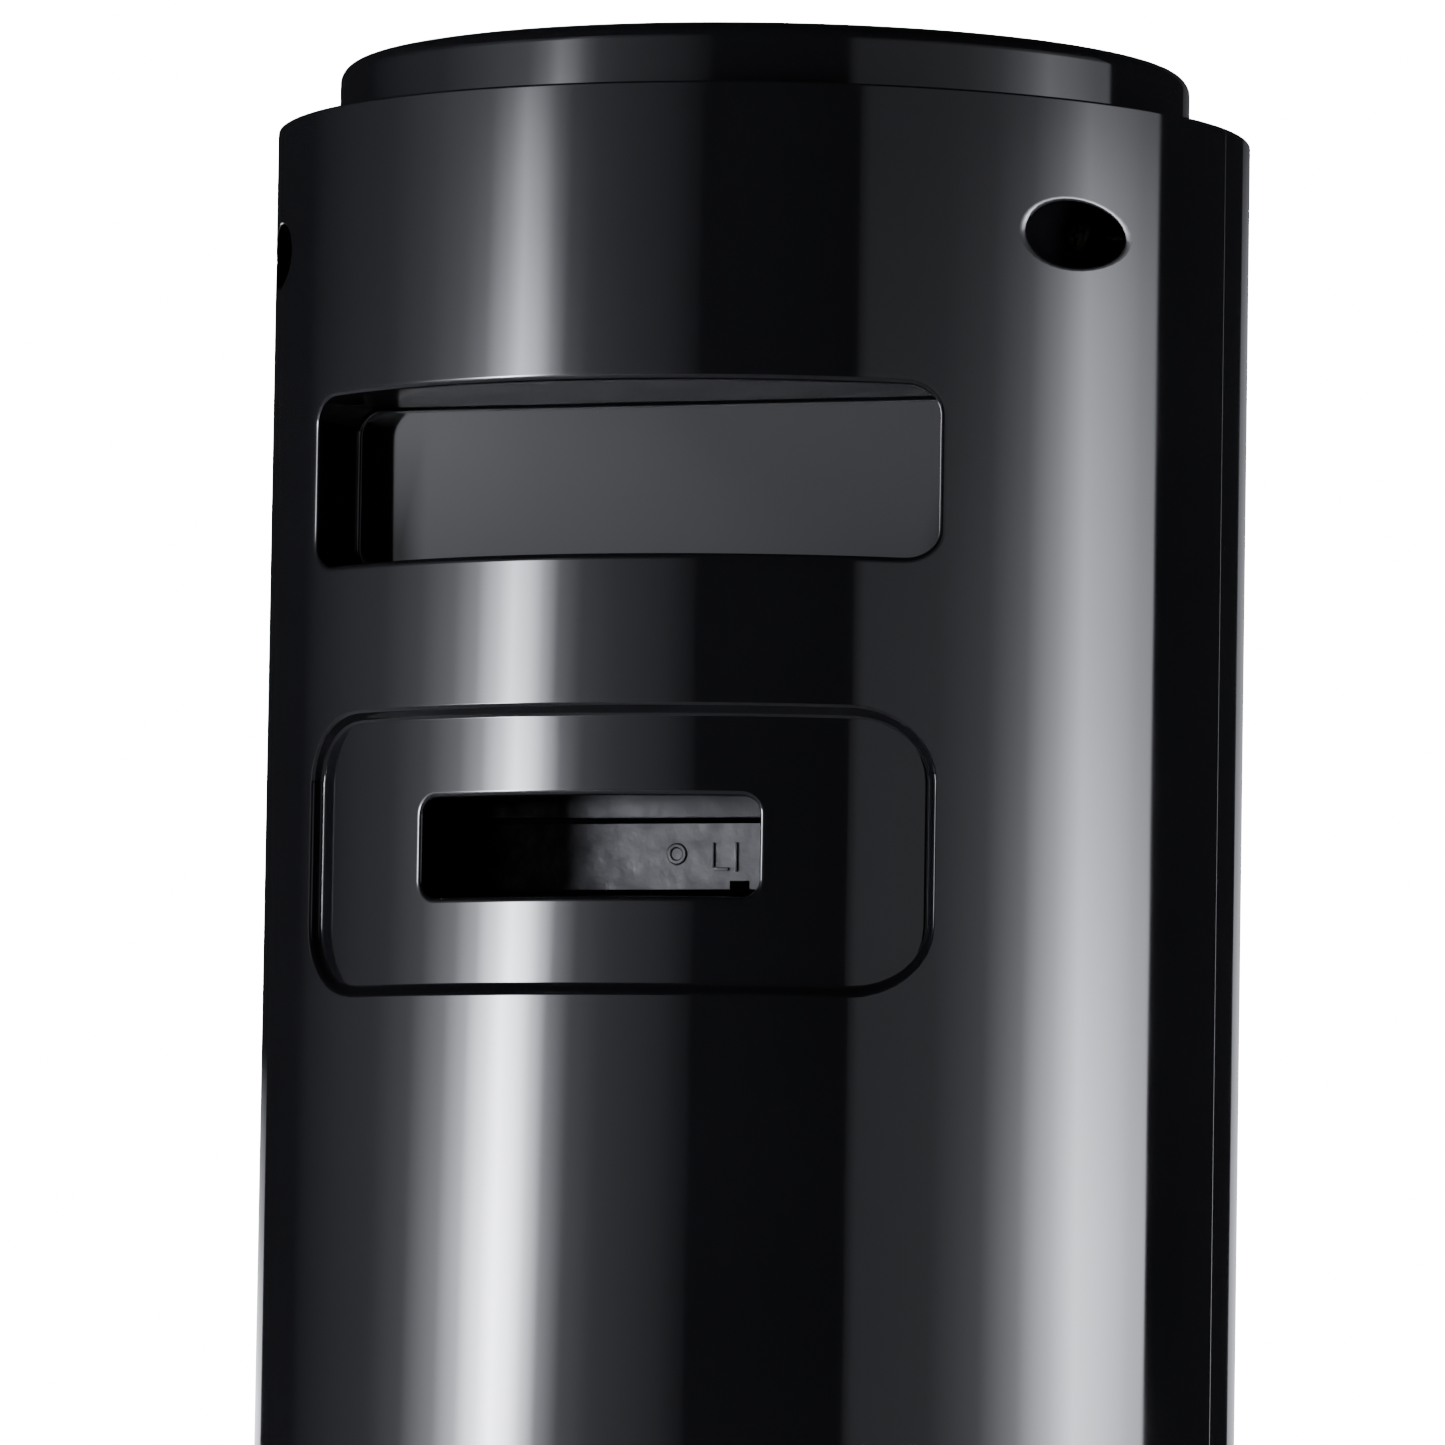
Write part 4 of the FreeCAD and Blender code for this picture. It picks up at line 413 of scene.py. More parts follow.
@dataclass
class Outline:
    """A rounded rectangle in the X-Z plane, as points with outward directions.

    Every outline made with the same corner steps and side steps has the same number of points, so that
    loops grown from one outline can be joined point by point.
    """

    x_low: float
    x_high: float
    z_low: float
    z_high: float
    corner: float
    side_step: float = 3 * MM
    corner_steps: int = 8
    spots: list[tuple[float, float, float, float]] = field(default_factory=list)

    def __post_init__(self) -> None:
        """Lay the points out once, corner by corner."""
        corners = [(self.x_high, self.z_high, 0), (self.x_low, self.z_high, 90),
                   (self.x_low, self.z_low, 180), (self.x_high, self.z_low, 270)]
        for row, (x, z, turn) in enumerate(corners):
            cx = x - self.corner if x == self.x_high else x + self.corner
            cz = z - self.corner if z == self.z_high else z + self.corner
            for step in range(self.corner_steps + 1):
                angle = math.radians(turn + 90 * step / self.corner_steps)
                self.spots.append((cx + self.corner * math.cos(angle), cz + self.corner * math.sin(angle),
                                   math.cos(angle), math.sin(angle)))
            self.add_side(row)

    def add_side(self, row: int) -> None:
        """Add the inner points of the straight side after a corner, if it has any length.

        Args:
            row: the number of the corner.
        """
        length = (self.x_high - self.x_low if row % 2 == 0 else self.z_high - self.z_low) - 2 * self.corner
        start = self.spots.pop() if length < 1e-6 else self.spots[-1]
        count = max(1, round(length / self.side_step))
        direction = [(-1, 0), (0, -1), (1, 0), (0, 1)][row]
        for step in range(1, count):
            run = length * step / count
            x, z, nx, nz = start
            self.spots.append((x + direction[0] * run, z + direction[1] * run, nx, nz))

    def grown(self, by: float) -> list[Point]:
        """The outline moved outwards by a distance (inwards if negative)."""
        return [(x + nx * by, z + nz * by) for x, z, nx, nz in self.spots]


def on_round(points: Sequence[Point], radius: float, back: float = 0.0) -> Loop3:
    """Points of the X-Z plane carried along Y onto the rear of a round wall, then back by a depth."""
    return [Vector((x, math.sqrt(max(radius * radius - x * x, 0)) - back, z)) for x, z in points]


def on_plane(points: Sequence[Point], y: float) -> Loop3:
    """Points of the X-Z plane at one depth."""
    return [Vector((x, y, z)) for x, z in points]


def rounded(start: Loop3, corner: Loop3, end: Loop3, steps: int = 5) -> list[Loop3]:
    """Loops that turn smoothly from start to end past a corner.

    Args:
        start: the loop where the rounding begins.
        corner: the loop where the two surfaces would meet.
        end: the loop where it ends.
        steps: how many strips to make.

    Returns:
        The loops, start and end included.
    """
    loops = []
    for step in range(steps + 1):
        t = step / steps
        loops.append([a * (1 - t) ** 2 + b * (2 * t * (1 - t)) + c * t ** 2
                      for a, b, c in zip(start, corner, end)])
    return loops


def within(spot: Vector, loop: Sequence[Vector]) -> bool:
    """Whether a flat point lies inside a closed flat loop.

    Args:
        spot: the point.
        loop: the loop's points in order.

    Returns:
        True if a ray from the point crosses the loop an odd number of times.
    """
    odd = False
    for a, b in zip(loop, list(loop[1:]) + [loop[0]]):
        if (a.y > spot.y) != (b.y > spot.y) and spot.x < (b.x - a.x) * (spot.y - a.y) / (b.y - a.y) + a.x:
            odd = not odd
    return odd


def box_of(loop: Sequence[Vector]) -> tuple[float, float, float, float]:
    """The lowest and highest x, then the lowest and highest y, of a flat loop."""
    xs, ys = [spot.x for spot in loop], [spot.y for spot in loop]
    return min(xs), max(xs), min(ys), max(ys)


def on_sheet(spot: Vector, loops: Sequence[Sequence[Vector]], boxes: Sequence[tuple]) -> bool:
    """Whether a flat point lies inside the edge and outside every hole.

    Args:
        spot: the point.
        loops: the edge and then the holes.
        boxes: the box of each loop, which saves most of the work.

    Returns:
        True if the point is on the sheet.
    """
    if not within(spot, loops[0]):
        return False
    return not any(x_low < spot.x < x_high and y_low < spot.y < y_high and within(spot, loop)
                   for loop, (x_low, x_high, y_low, y_high) in zip(loops[1:], boxes[1:]))


def triangles(loops: Sequence[Sequence[Vector]], inner: Sequence[Vector] = ()
              ) -> tuple[list[Vector], list[Sequence[int]]]:
    """Triangulate a flat sheet with holes.

    Args:
        loops: the edge and then the holes.
        inner: further points inside the sheet.

    Returns:
        The points, and the triangles that lie on the sheet as rows of three point numbers.
    """
    flat, edges = [], []
    for loop in loops:
        first, count = len(flat), len(loop)
        flat += loop
        edges += [(first + i, first + (i + 1) % count) for i in range(count)]
    spots, _, faces, _, _, _ = delaunay_2d_cdt(flat + list(inner), edges, [], 0, MERGE_WITHIN)
    boxes = [box_of(loop) for loop in loops]
    kept = [face for face in faces
            if on_sheet((spots[face[0]] + spots[face[1]] + spots[face[2]]) / 3, loops, boxes)]
    return spots, kept


def lip_loops(outline: Outline, radius: float, lip: float, steps: int = 5) -> list[Loop3]:
    """The rounded edge from a round wall into a hole that runs straight in along Y.

    Args:
        outline: the hole.
        radius: the wall's radius.
        lip: the radius of the rounding.
        steps: how many strips to make.

    Returns:
        The loops, from the wall inwards.
    """
    mouth = outline.grown(0)
    return rounded(on_round(outline.grown(lip), radius), on_round(mouth, radius),
                   on_round(mouth, radius, back=lip), steps)


@dataclass
class RoundSheet:
    """A stretch of round wall with holes, in triangles small enough to look round.

    edge is the outer boundary as (angle, height) points, angle in radians from +Y toward +X; holes are the
    inner boundaries as points in the X-Z plane.
    """

    radius: float
    edge: list[Point]
    holes: list[list[Point]]
    angle_step_deg: float = 3.0
    height_step: float = 9 * MM
    clearance: float = 1.6 * MM

    def build(self, build: bmesh.types.BMesh) -> None:
        """Triangulate the unrolled sheet and wrap it round the axis.

        Args:
            build: the geometry that gets the triangles.
        """
        loops = [[Vector((self.radius * angle, z)) for angle, z in self.edge]]
        loops += [[self.unrolled(x, z) for x, z in hole] for hole in self.holes]
        taken = [spot for loop in loops for spot in loop]
        spots, faces = triangles(loops, self.fill_points(loops, taken))
        verts = [build.verts.new((self.radius * math.sin(spot.x / self.radius),
                                  self.radius * math.cos(spot.x / self.radius), spot.y)) for spot in spots]
        for face in faces:
            build.faces.new([verts[i] for i in face])
        loose = [vert for vert in verts if not vert.link_faces]
        bmesh.ops.delete(build, geom=loose, context="VERTS")

    def unrolled(self, x: float, z: float) -> Vector:
        """A point of the X-Z plane laid on the unrolled sheet."""
        return Vector((self.radius * math.asin(max(-1.0, min(1.0, x / self.radius))), z))

    def fill_points(self, loops: Sequence[Sequence[Vector]], taken: Sequence[Vector]) -> list[Vector]:
        """Grid points inside the sheet, clear of its boundaries.

        Args:
            loops: the unrolled boundaries, the edge first.
            taken: every boundary point.

        Returns:
            The points.
        """
        tree = KDTree(len(taken))
        for row, spot in enumerate(taken):
            tree.insert((spot.x, spot.y, 0), row)
        tree.balance()
        boxes = [box_of(loop) for loop in loops]
        x_low, x_high, y_low, y_high = boxes[0]
        turn_steps = max(1, round((x_high - x_low) / (self.radius * math.radians(self.angle_step_deg))))
        rise_steps = max(1, round((y_high - y_low) / self.height_step))
        found = []
        for i in range(1, turn_steps):
            for j in range(1, rise_steps):
                spot = Vector((x_low + (x_high - x_low) * i / turn_steps,
                               y_low + (y_high - y_low) * j / rise_steps))
                if tree.find((spot.x, spot.y, 0))[2] > self.clearance and on_sheet(spot, loops, boxes):
                    found.append(spot)
        return found


def sheet_edge(half_angle: float, z_low: float, z_high: float, angle_step_deg: float = 1.5,
               height_step: float = 9 * MM, inset: float = 0.0, turn_inset: float = 0.0) -> list[Point]:
    """The boundary of a stretch of round wall that is centred on +Y.

    Args:
        half_angle: the angle from its middle to its side.
        z_low: its foot.
        z_high: its top.
        angle_step_deg: the step between points round the wall.
        height_step: the step between points up its sides.
        inset: how far the foot and the top are drawn in.
        turn_inset: the angle by which the sides are drawn in.

    Returns:
        The boundary as (angle, height) points.
    """
    half_turn = half_angle - turn_inset
    low, high = z_low + inset, z_high - inset
    turn = round(2 * half_angle / math.radians(angle_step_deg))
    rise = round((z_high - z_low) / height_step)
    loop = [(-half_turn + 2 * half_turn * i / turn, low) for i in range(turn)]
    loop += [(half_turn, low + (high - low) * i / rise) for i in range(rise)]
    loop += [(half_turn - 2 * half_turn * i / turn, high) for i in range(turn)]
    loop += [(-half_turn, high - (high - low) * i / rise) for i in range(rise)]
    return loop


def wrapped(points: Sequence[Point], radius: float) -> Loop3:
    """(angle, height) points set on a round wall."""
    return [Vector((radius * math.sin(angle), radius * math.cos(angle), z)) for angle, z in points]


def true_normals(piece: bpy.types.Object, normal_at: Callable[[Vector, Vector], Vector | None]) -> None:
    """Give a polished skin the exact normals of its surface, so that reflections run clean.

    Args:
        piece: the object whose mesh is set.
        normal_at: the exact normal for a vertex and its present normal, or None to keep that.
    """
    mesh = piece.data
    normals = []
    for loop, corner in zip(mesh.loops, mesh.corner_normals):
        now = Vector(corner.vector)
        exact = normal_at(mesh.vertices[loop.vertex_index].co, now)
        normals.append(exact if exact and exact.dot(now) > 0.9 else now)
    mesh.normals_split_custom_set(normals)


def round_wall(*radii: float) -> Callable[[Vector, Vector], Vector | None]:
    """The normals of round walls about the column's axis.

    Args:
        radii: the radius of each wall.

    Returns:
        A function for true_normals, which leaves other surfaces as they are.
    """
    def normal_at(spot: Vector, _: Vector) -> Vector | None:
        if min(abs(math.hypot(spot.x, spot.y) - radius) for radius in radii) > ON_WALL_WITHIN:
            return None
        return Vector((spot.x, spot.y, 0)).normalized()
    return normal_at


def half_ring(build: bmesh.types.BMesh, r_low: float, r_high: float, z_low: float, z_high: float,
              half_angle: float, steps: int = 60) -> None:
    """A closed part ring of square section, centred on +Y.

    Args:
        build: the geometry that gets it.
        r_low: its inner radius.
        r_high: its outer radius.
        z_low: its foot.
        z_high: its top.
        half_angle: the angle from its middle to its end.
        steps: strips from end to end.
    """
    rows = []
    for step in range(steps + 1):
        angle = -half_angle + 2 * half_angle * step / steps
        rows.append([Vector((r * math.sin(angle), r * math.cos(angle), z))
                     for r, z in ((r_low, z_low), (r_high, z_low), (r_high, z_high), (r_low, z_high))])
    bridge(build, rows)
    cap(build, rows[0])
    cap(build, rows[-1])


def slab(build: bmesh.types.BMesh, low: Sequence[float], high: Sequence[float], bevel: float = 0.0) -> None:
    """A closed box with edges bevelled all round.

    Args:
        build: the geometry that gets it.
        low: its lowest corner.
        high: its highest corner.
        bevel: the width of the bevels, or 0 for sharp edges.
    """
    made = bmesh.ops.create_cube(build, size=1.0)
    middle = [(a + b) / 2 for a, b in zip(low, high)]
    for vert in made["verts"]:
        vert.co = Vector([m + v * (b - a) for m, v, a, b in zip(middle, vert.co, low, high)])
    if bevel:
        edges = list(dict.fromkeys(edge for vert in made["verts"] for edge in vert.link_edges))
        bmesh.ops.bevel(build, geom=edges, offset=bevel, segments=2, affect="EDGES", profile=0.6)


# ---------------------------------------------------------------- the column's shells

@dataclass
class Shell:
    """What both halves of the column share: a round wall from the base to the cap, open at the seams."""

    radius: float
    low: float
    high: float
    wall: float = 2.6 * MM
    seam: float = 0.15 * MM
    edge_round: float = 0.45 * MM
    seam_round: float = 0.1 * MM
    flange_deep: float = 13.4 * MM
    flange_thick: float = 3.0 * MM
    ledge_deep: float = 3.0 * MM
    ledge_drop: float = 5.5 * MM
    ledge_thick: float = 2.6 * MM
    well_x: float = 77 * MM
    well_heights: tuple[float, float] = (54 * MM, 675.8 * MM)

    @property
    def inner(self) -> float:
        """The radius of the wall's inside."""
        return self.radius - self.wall

    @property
    def half_angle(self) -> float:
        """The angle from the middle of the half to its seam."""
        return math.pi / 2 - self.seam / self.radius

    def skins(self, build: bmesh.types.BMesh, outer_holes: list[list[Point]], inner_holes: list[list[Point]]
              ) -> None:
        """Both faces of the wall, with its rounded rim and seam edges.

        Args:
            build: the geometry that gets them.
            outer_holes: the holes in the outer face, as points in the X-Z plane.
            inner_holes: the holes in the inner face.
        """
        place = (self.half_angle, self.low, self.high)
        full = sheet_edge(*place)
        start = sheet_edge(*place, inset=self.edge_round, turn_inset=self.seam_round / self.radius)
        RoundSheet(self.radius, start, outer_holes).build(build)
        RoundSheet(self.inner, full, inner_holes, angle_step_deg=8, height_step=30 * MM).build(build)
        turn = rounded(wrapped(start, self.radius), wrapped(full, self.radius),
                       wrapped(full, self.radius - self.edge_round), steps=4)
        bridge(build, turn + [wrapped(full, self.inner)])

    def rings(self, build: bmesh.types.BMesh) -> None:
        """The flange that stands on the base and the ledge that carries the deck.

        Args:
            build: the shell's geometry.
        """
        half_ring(build, self.inner - self.flange_deep, self.inner, self.low, self.low + self.flange_thick,
                  self.half_angle)
        foot = self.high - self.ledge_drop
        half_ring(build, self.inner - self.ledge_deep, self.inner, foot, foot + self.ledge_thick,
                  self.half_angle)


@dataclass
class RearShell(Shell):
    """The rear half: hand pocket, shallow recess with the remote slot, screw wells and the door opening."""

    lip: float = 1.2 * MM
    pocket_back: float = 49 * MM
    pocket_cove: float = 0.8 * MM
    pocket_draft: float = 0.2 * MM
    pocket_wall: float = 2.2 * MM
    cup_round: float = 1.5 * MM
    recess_depth: float = 2.6 * MM
    recess_slope: float = 2.4 * MM
    recess_steps: int = 8
    slot_lip: float = 1.1 * MM
    pan: float = 4 * MM
    well_radius: float = 5.9 * MM
    well_lip: float = 0.8 * MM
    well_seat: float = 12 * MM
    well_wall: float = 1.7 * MM
    seat_thick: float = 2.7 * MM
    screw_hole: float = 2.0 * MM
    opening_lip: float = 0.35 * MM
    pocket: Outline = field(default_factory=lambda: Outline(
        -59.8 * MM, 59.8 * MM, 616.3 * MM, 647 * MM, 5 * MM))
    recess: Outline = field(default_factory=lambda: Outline(
        -60.3 * MM, 60.3 * MM, 538.2 * MM, 590 * MM, 13 * MM))
    slot: Outline = field(default_factory=lambda: Outline(
        -32.2 * MM, 32.2 * MM, 555.9 * MM, 573.6 * MM, 3 * MM))
    opening: Outline = field(default_factory=lambda: Outline(
        -70.6 * MM, 70.6 * MM, 69.6 * MM, 410 * MM, 0.8 * MM, side_step=6 * MM))

    def build(self) -> bpy.types.Object:
        """Make the shell.

        Returns:
            The piece that stands for the CAD rear shell.
        """
        build = bmesh.new()
        wells = [self.well_outline(side, height) for side in (-1, 1) for height in self.well_heights]
        self.skins(build,
                   [self.pocket.grown(self.lip), self.recess.grown(0), self.opening.grown(self.opening_lip)]
                   + [well.grown(self.well_lip) for well in wells],
                   [self.pocket.grown(self.pocket_wall), self.recess.grown(self.pan), self.opening.grown(0)]
                   + [well.grown(self.well_wall) for well in wells])
        self.rings(build)
        self.hand_pocket(build)
        self.remote_recess(build)
        for well in wells:
            self.well(build, well)
        edge = lip_loops(self.opening, self.radius, self.opening_lip)
        bridge(build, edge + [on_round(self.opening.grown(0), self.inner)])
        shell = finish_piece("rear_shell_polished", build, Look.black_gloss, "tower", ["rear_shell"])
        true_normals(shell, round_wall(self.radius, self.radius - self.recess_depth))
        return shell

    def well_outline(self, side: int, height: float) -> Outline:
        """The round mouth of one screw well.

        Args:
            side: -1 or 1, for the side of the column.
            height: the height of its middle.

        Returns:
            Its outline.
        """
        x = side * self.well_x
        r = self.well_radius
        return Outline(x - r, x + r, height - r, height + r, r)

    def hand_pocket(self, build: bmesh.types.BMesh) -> None:
        """The deep pocket for the fingers, its coved back wall, and the outside of its cup.

        Args:
            build: the shell's geometry.
        """
        foot = self.pocket.grown(-self.pocket_draft)
        loops = lip_loops(self.pocket, self.radius, self.lip)
        floor = self.pocket_back
        loops += rounded(on_plane(foot, floor + self.pocket_cove), on_plane(foot, floor),
                         on_plane(self.pocket.grown(-self.pocket_draft - self.pocket_cove), floor))
        bridge(build, loops)
        cap(build, loops[-1])
        outside = self.pocket.grown(self.pocket_wall)
        back = self.pocket_back - self.pocket_wall
        shell = [on_round(outside, self.inner), on_plane(outside, back + self.cup_round),
                 on_plane(self.pocket.grown(self.pocket_wall - self.cup_round), back)]
        bridge(build, shell)
        cap(build, shell[-1])

    def remote_recess(self, build: bmesh.types.BMesh) -> None:
        """The shallow dish with soft sides, and the slot through its floor.

        Args:
            build: the shell's geometry.
        """
        loops = []
        for step in range(self.recess_steps + 1):
            t = step / self.recess_steps
            fall = t * t * (3 - 2 * t)
            edge = self.recess.grown(-self.recess_slope * t)
            loops.append(on_round(edge, self.radius - self.recess_depth * fall))
        bridge(build, loops)
        floor = self.radius - self.recess_depth
        self.dish(build, floor, self.recess.grown(-self.recess_slope), self.slot.grown(self.slot_lip))
        back = floor - self.wall
        lip = lip_loops(self.slot, floor, self.slot_lip)
        bridge(build, lip + [on_round(self.slot.grown(0), back)])
        self.dish(build, back, self.recess.grown(self.pan), self.slot.grown(0))
        bridge(build, [on_round(self.recess.grown(self.pan), self.inner),
                       on_round(self.recess.grown(self.pan), back)])

    def dish(self, build: bmesh.types.BMesh, radius: float, edge: list[Point], hole: list[Point]) -> None:
        """A round face between two outlines.

        Args:
            build: the shell's geometry.
            radius: the radius of the face.
            edge: its outer outline, as points in the X-Z plane.
            hole: the outline of the hole in it.
        """
        turned = [(math.asin(x / radius), z) for x, z in edge]
        RoundSheet(radius, turned, [hole], height_step=5 * MM).build(build)

    def well(self, build: bmesh.types.BMesh, mouth: Outline) -> None:
        """One screw well: bore, seat, screw hole and the tube round them.

        Args:
            build: the shell's geometry.
            mouth: the outline of the well.
        """
        hole = self.well_radius - self.screw_hole
        under = self.well_seat - self.seat_thick
        loops = lip_loops(mouth, self.radius, self.well_lip)
        loops += [on_plane(mouth.grown(0), self.well_seat), on_plane(mouth.grown(-hole), self.well_seat),
                  on_plane(mouth.grown(-hole), under), on_plane(mouth.grown(self.well_wall), under),
                  on_round(mouth.grown(self.well_wall), self.inner)]
        bridge(build, loops)


@dataclass
class FrontShell(Shell):
    """The front half, made facing +Y and then turned: the outlet opening and the bosses that all hangs on."""

    opening_lip: float = 0.4 * MM
    opening: Outline = field(default_factory=lambda: Outline(
        -47.3 * MM, 47.3 * MM, 552.7 * MM, 664.3 * MM, 0.8 * MM))
    tongue_thick: float = 1.0 * MM
    tongue_play: float = 0.2 * MM
    tongue_reach: float = 2.5 * MM
    boss_radius: float = 5 * MM
    pilot: float = 1.65 * MM
    pilot_deep: float = 18 * MM
    bosses: tuple[tuple[float, float], ...] = (
        (54 * MM, -8.7 * MM), (675.8 * MM, -8.7 * MM), (100 * MM, -19.7 * MM), (370 * MM, -19.7 * MM),
        (440 * MM, 12.3 * MM), (506 * MM, 12.3 * MM), (600 * MM, 12.3 * MM))

    def build(self) -> bpy.types.Object:
        """Make the shell.

        Returns:
            The piece that stands for the CAD front shell.
        """
        build = bmesh.new()
        posts = [(self.boss_outline(side, height), end) for side in (-1, 1) for height, end in self.bosses]
        self.skins(build, [self.opening.grown(self.opening_lip)],
                   [self.opening.grown(0)] + [post.grown(0) for post, _ in posts])
        self.rings(build)
        lip = lip_loops(self.opening, self.radius, self.opening_lip, 4)
        bridge(build, lip + [on_round(self.opening.grown(0), self.inner)])
        for post, end in posts:
            hole = post.grown(self.pilot - self.boss_radius)
            loops = [on_round(post.grown(0), self.inner), on_plane(post.grown(0), end), on_plane(hole, end),
                     on_plane(hole, end + self.pilot_deep)]
            bridge(build, loops)
            cap(build, loops[-1])
        self.tongues(build)
        bmesh.ops.rotate(build, verts=build.verts, cent=(0, 0, 0), matrix=Matrix.Rotation(math.pi, 3, "Z"))
        shell = finish_piece("front_shell_polished", build, Look.black_gloss, "tower", ["front_shell"])
        true_normals(shell, round_wall(self.radius))
        return shell

    def tongues(self, build: bmesh.types.BMesh) -> None:
        """The strip behind each seam that laps the rear half, so that no light comes through.

        Args:
            build: the shell's geometry.
        """
        face = self.inner - self.tongue_play
        low = self.low + self.flange_thick
        high = self.high - self.ledge_drop
        for near, far in ((-face, self.tongue_thick - face), (face - self.tongue_thick, face)):
            slab(build, (near, -self.tongue_reach, low), (far, self.tongue_reach, high), self.tongue_play)

    def boss_outline(self, side: int, height: float) -> Outline:
        """The round section of one boss.

        Args:
            side: -1 or 1, for the side of the column.
            height: the height of its middle.

        Returns:
            Its outline.
        """
        x = side * self.well_x
        r = self.boss_radius
        return Outline(x - r, x + r, height - r, height + r, r, corner_steps=5)


# ---------------------------------------------------------------- cap, keys and panel

def flat_sheet(build: bmesh.types.BMesh, edge: Sequence[Point], holes: Sequence[Sequence[Point]],
               z: float) -> None:
    """A level face with holes, in triangles.

    Args:
        build: the geometry that gets it.
        edge: the outer boundary, as (x, y) points.
        holes: the inner boundaries.
        z: its height.
    """
    spots, faces = triangles([[Vector(spot) for spot in loop] for loop in [edge, *holes]])
    verts = [build.verts.new((spot.x, spot.y, z)) for spot in spots]
    for face in faces:
        build.faces.new([verts[i] for i in face])


def circle(radius: float, centre: Point = (0.0, 0.0), steps: int = 48) -> list[Point]:
    """Points of a circle, anticlockwise."""
    return [(centre[0] + radius * math.cos(2 * math.pi * i / steps),
             centre[1] + radius * math.sin(2 * math.pi * i / steps)) for i in range(steps)]


def level(points: Sequence[Point], z: float) -> Loop3:
    """(x, y) points set at one height."""
    return [Vector((x, y, z)) for x, y in points]


@dataclass
class Cap:
    """The low round cap, its gloss panel pierced for five keys and the display, and the keys' marks."""

    radius: float
    low: float
    high: float
    edge_round: float = 3 * MM
    wall: float = 2.2 * MM
    plate: float = 2.2 * MM
    panel_radius: float = 66 * MM
    panel_thick: float = 0.8 * MM
    panel_play: float = 0.1 * MM
    key_hole: float = 6.8 * MM
    key_circle: float = 46 * MM
    key_step_deg: float = 22
    key_top: float = 0.3 * MM
    display: tuple[float, float, float, float] = (-16 * MM, 16 * MM, -25 * MM, -12 * MM)
    display_corner: float = 0.8 * MM
    foot_chamfer: float = 0.2 * MM
    rim_steps: int = 192
    hole_steps: int = 36
    lip: float = 0.25 * MM

    def build(self) -> None:
        """Make the cap, the panel and the marks on the keys."""
        self.cap()
        self.panel()
        for row, (body, marks) in enumerate(KEY_MARKS.items()):
            self.mark(body, marks, self.key_spot(row))

    def key_spot(self, row: int) -> Point:
        """The centre of one key, on its arc toward the front."""
        angle = math.radians((row - 2) * self.key_step_deg)
        return self.key_circle * math.sin(angle), -self.key_circle * math.cos(angle)

    def openings(self, grow: float = 0.0) -> list[list[Point]]:
        """The key holes and the display's window.

        Args:
            grow: the distance by which they are grown.

        Returns:
            Their outlines, as (x, y) points.
        """
        x_low, x_high, y_low, y_high = self.display
        window = Outline(x_low, x_high, y_low, y_high, self.display_corner, side_step=4 * MM, corner_steps=4)
        holes = [circle(self.key_hole + grow, self.key_spot(row), self.hole_steps)
                 for row in range(len(KEY_MARKS))]
        return [*holes, window.grown(grow)]

    def cap(self) -> None:
        """The moulded cap: a plate under the panel, a rounded shoulder and a skirt."""
        build = bmesh.new()
        seat = self.high - self.panel_thick
        under = seat - self.plate
        inner, seat_edge = self.radius - self.wall, self.panel_radius + self.panel_play
        profile = [(seat_edge, seat), (seat_edge, self.high)]
        turn = self.edge_round
        profile += arc((self.radius - turn, self.high - turn), turn, 90, 0, 10)
        profile += [(self.radius, self.low + self.foot_chamfer), (self.radius - self.foot_chamfer, self.low),
                    (inner, self.low), (inner, under)]
        rings = [level(circle(r, steps=self.rim_steps), z) for r, z in profile]
        bridge(build, rings)
        flat_sheet(build, circle(seat_edge, steps=self.rim_steps), self.openings(), seat)
        flat_sheet(build, circle(inner, steps=self.rim_steps), self.openings(), under)
        for hole in self.openings():
            bridge(build, [level(hole, seat), level(hole, under)])
        cap_piece = finish_piece("top_cap_polished", build, Look.black_gloss, "tower", ["top_cap"])
        true_normals(cap_piece, self.cap_normal)

    def cap_normal(self, spot: Vector, now: Vector) -> Vector | None:
        """The exact normal of the skirt, the shoulder and the top ring.

        Args:
            spot: a vertex of the cap.
            now: its present normal.

        Returns:
            The exact normal, or None for the inside and the underside.
        """
        near = 0.01 * MM
        reach = math.hypot(spot.x, spot.y)
        out = Vector((spot.x, spot.y, 0)).normalized()
        if reach < self.radius - self.edge_round - near or now.z < -0.1:
            return None
        if spot.z <= self.high - self.edge_round:
            return out if abs(reach - self.radius) < near else None
        across = (reach - self.radius + self.edge_round) / self.edge_round
        up = (spot.z - self.high + self.edge_round) / self.edge_round
        return (out * across + Vector((0, 0, up))).normalized()

    def panel(self) -> None:
        """The thin gloss panel with softened edges."""
        build = bmesh.new()
        top, under = self.high, self.high - self.panel_thick
        slim = circle(self.panel_radius - self.lip, steps=self.rim_steps)
        full = circle(self.panel_radius, steps=self.rim_steps)
        flat_sheet(build, slim, self.openings(self.lip), top)
        flat_sheet(build, full, self.openings(), under)
        bridge(build, [level(slim, top), level(full, top - self.lip), level(full, under)])
        for wide, close in zip(self.openings(self.lip), self.openings()):
            bridge(build, [level(wide, top), level(close, top - self.lip), level(close, under)])
        finish_piece("panel_pierced", build, Look.panel_gloss, "tower", ["control_overlay"])

    def mark(self, body: str, marks: Sequence["Stroke"], centre: Point) -> None:
        """The raised mark on one key, made of arcs and bars.

        Args:
            body: the key's body.
            marks: the strokes of the mark, in millimetres about the key's centre.
            centre: the key's centre.
        """
        build = bmesh.new()
        top = self.high - self.key_top
        for stroke in marks:
            stroke.build(build, centre, top)
        finish_piece(body.replace("_key", "_mark"), build, Look.mark_grey, body)


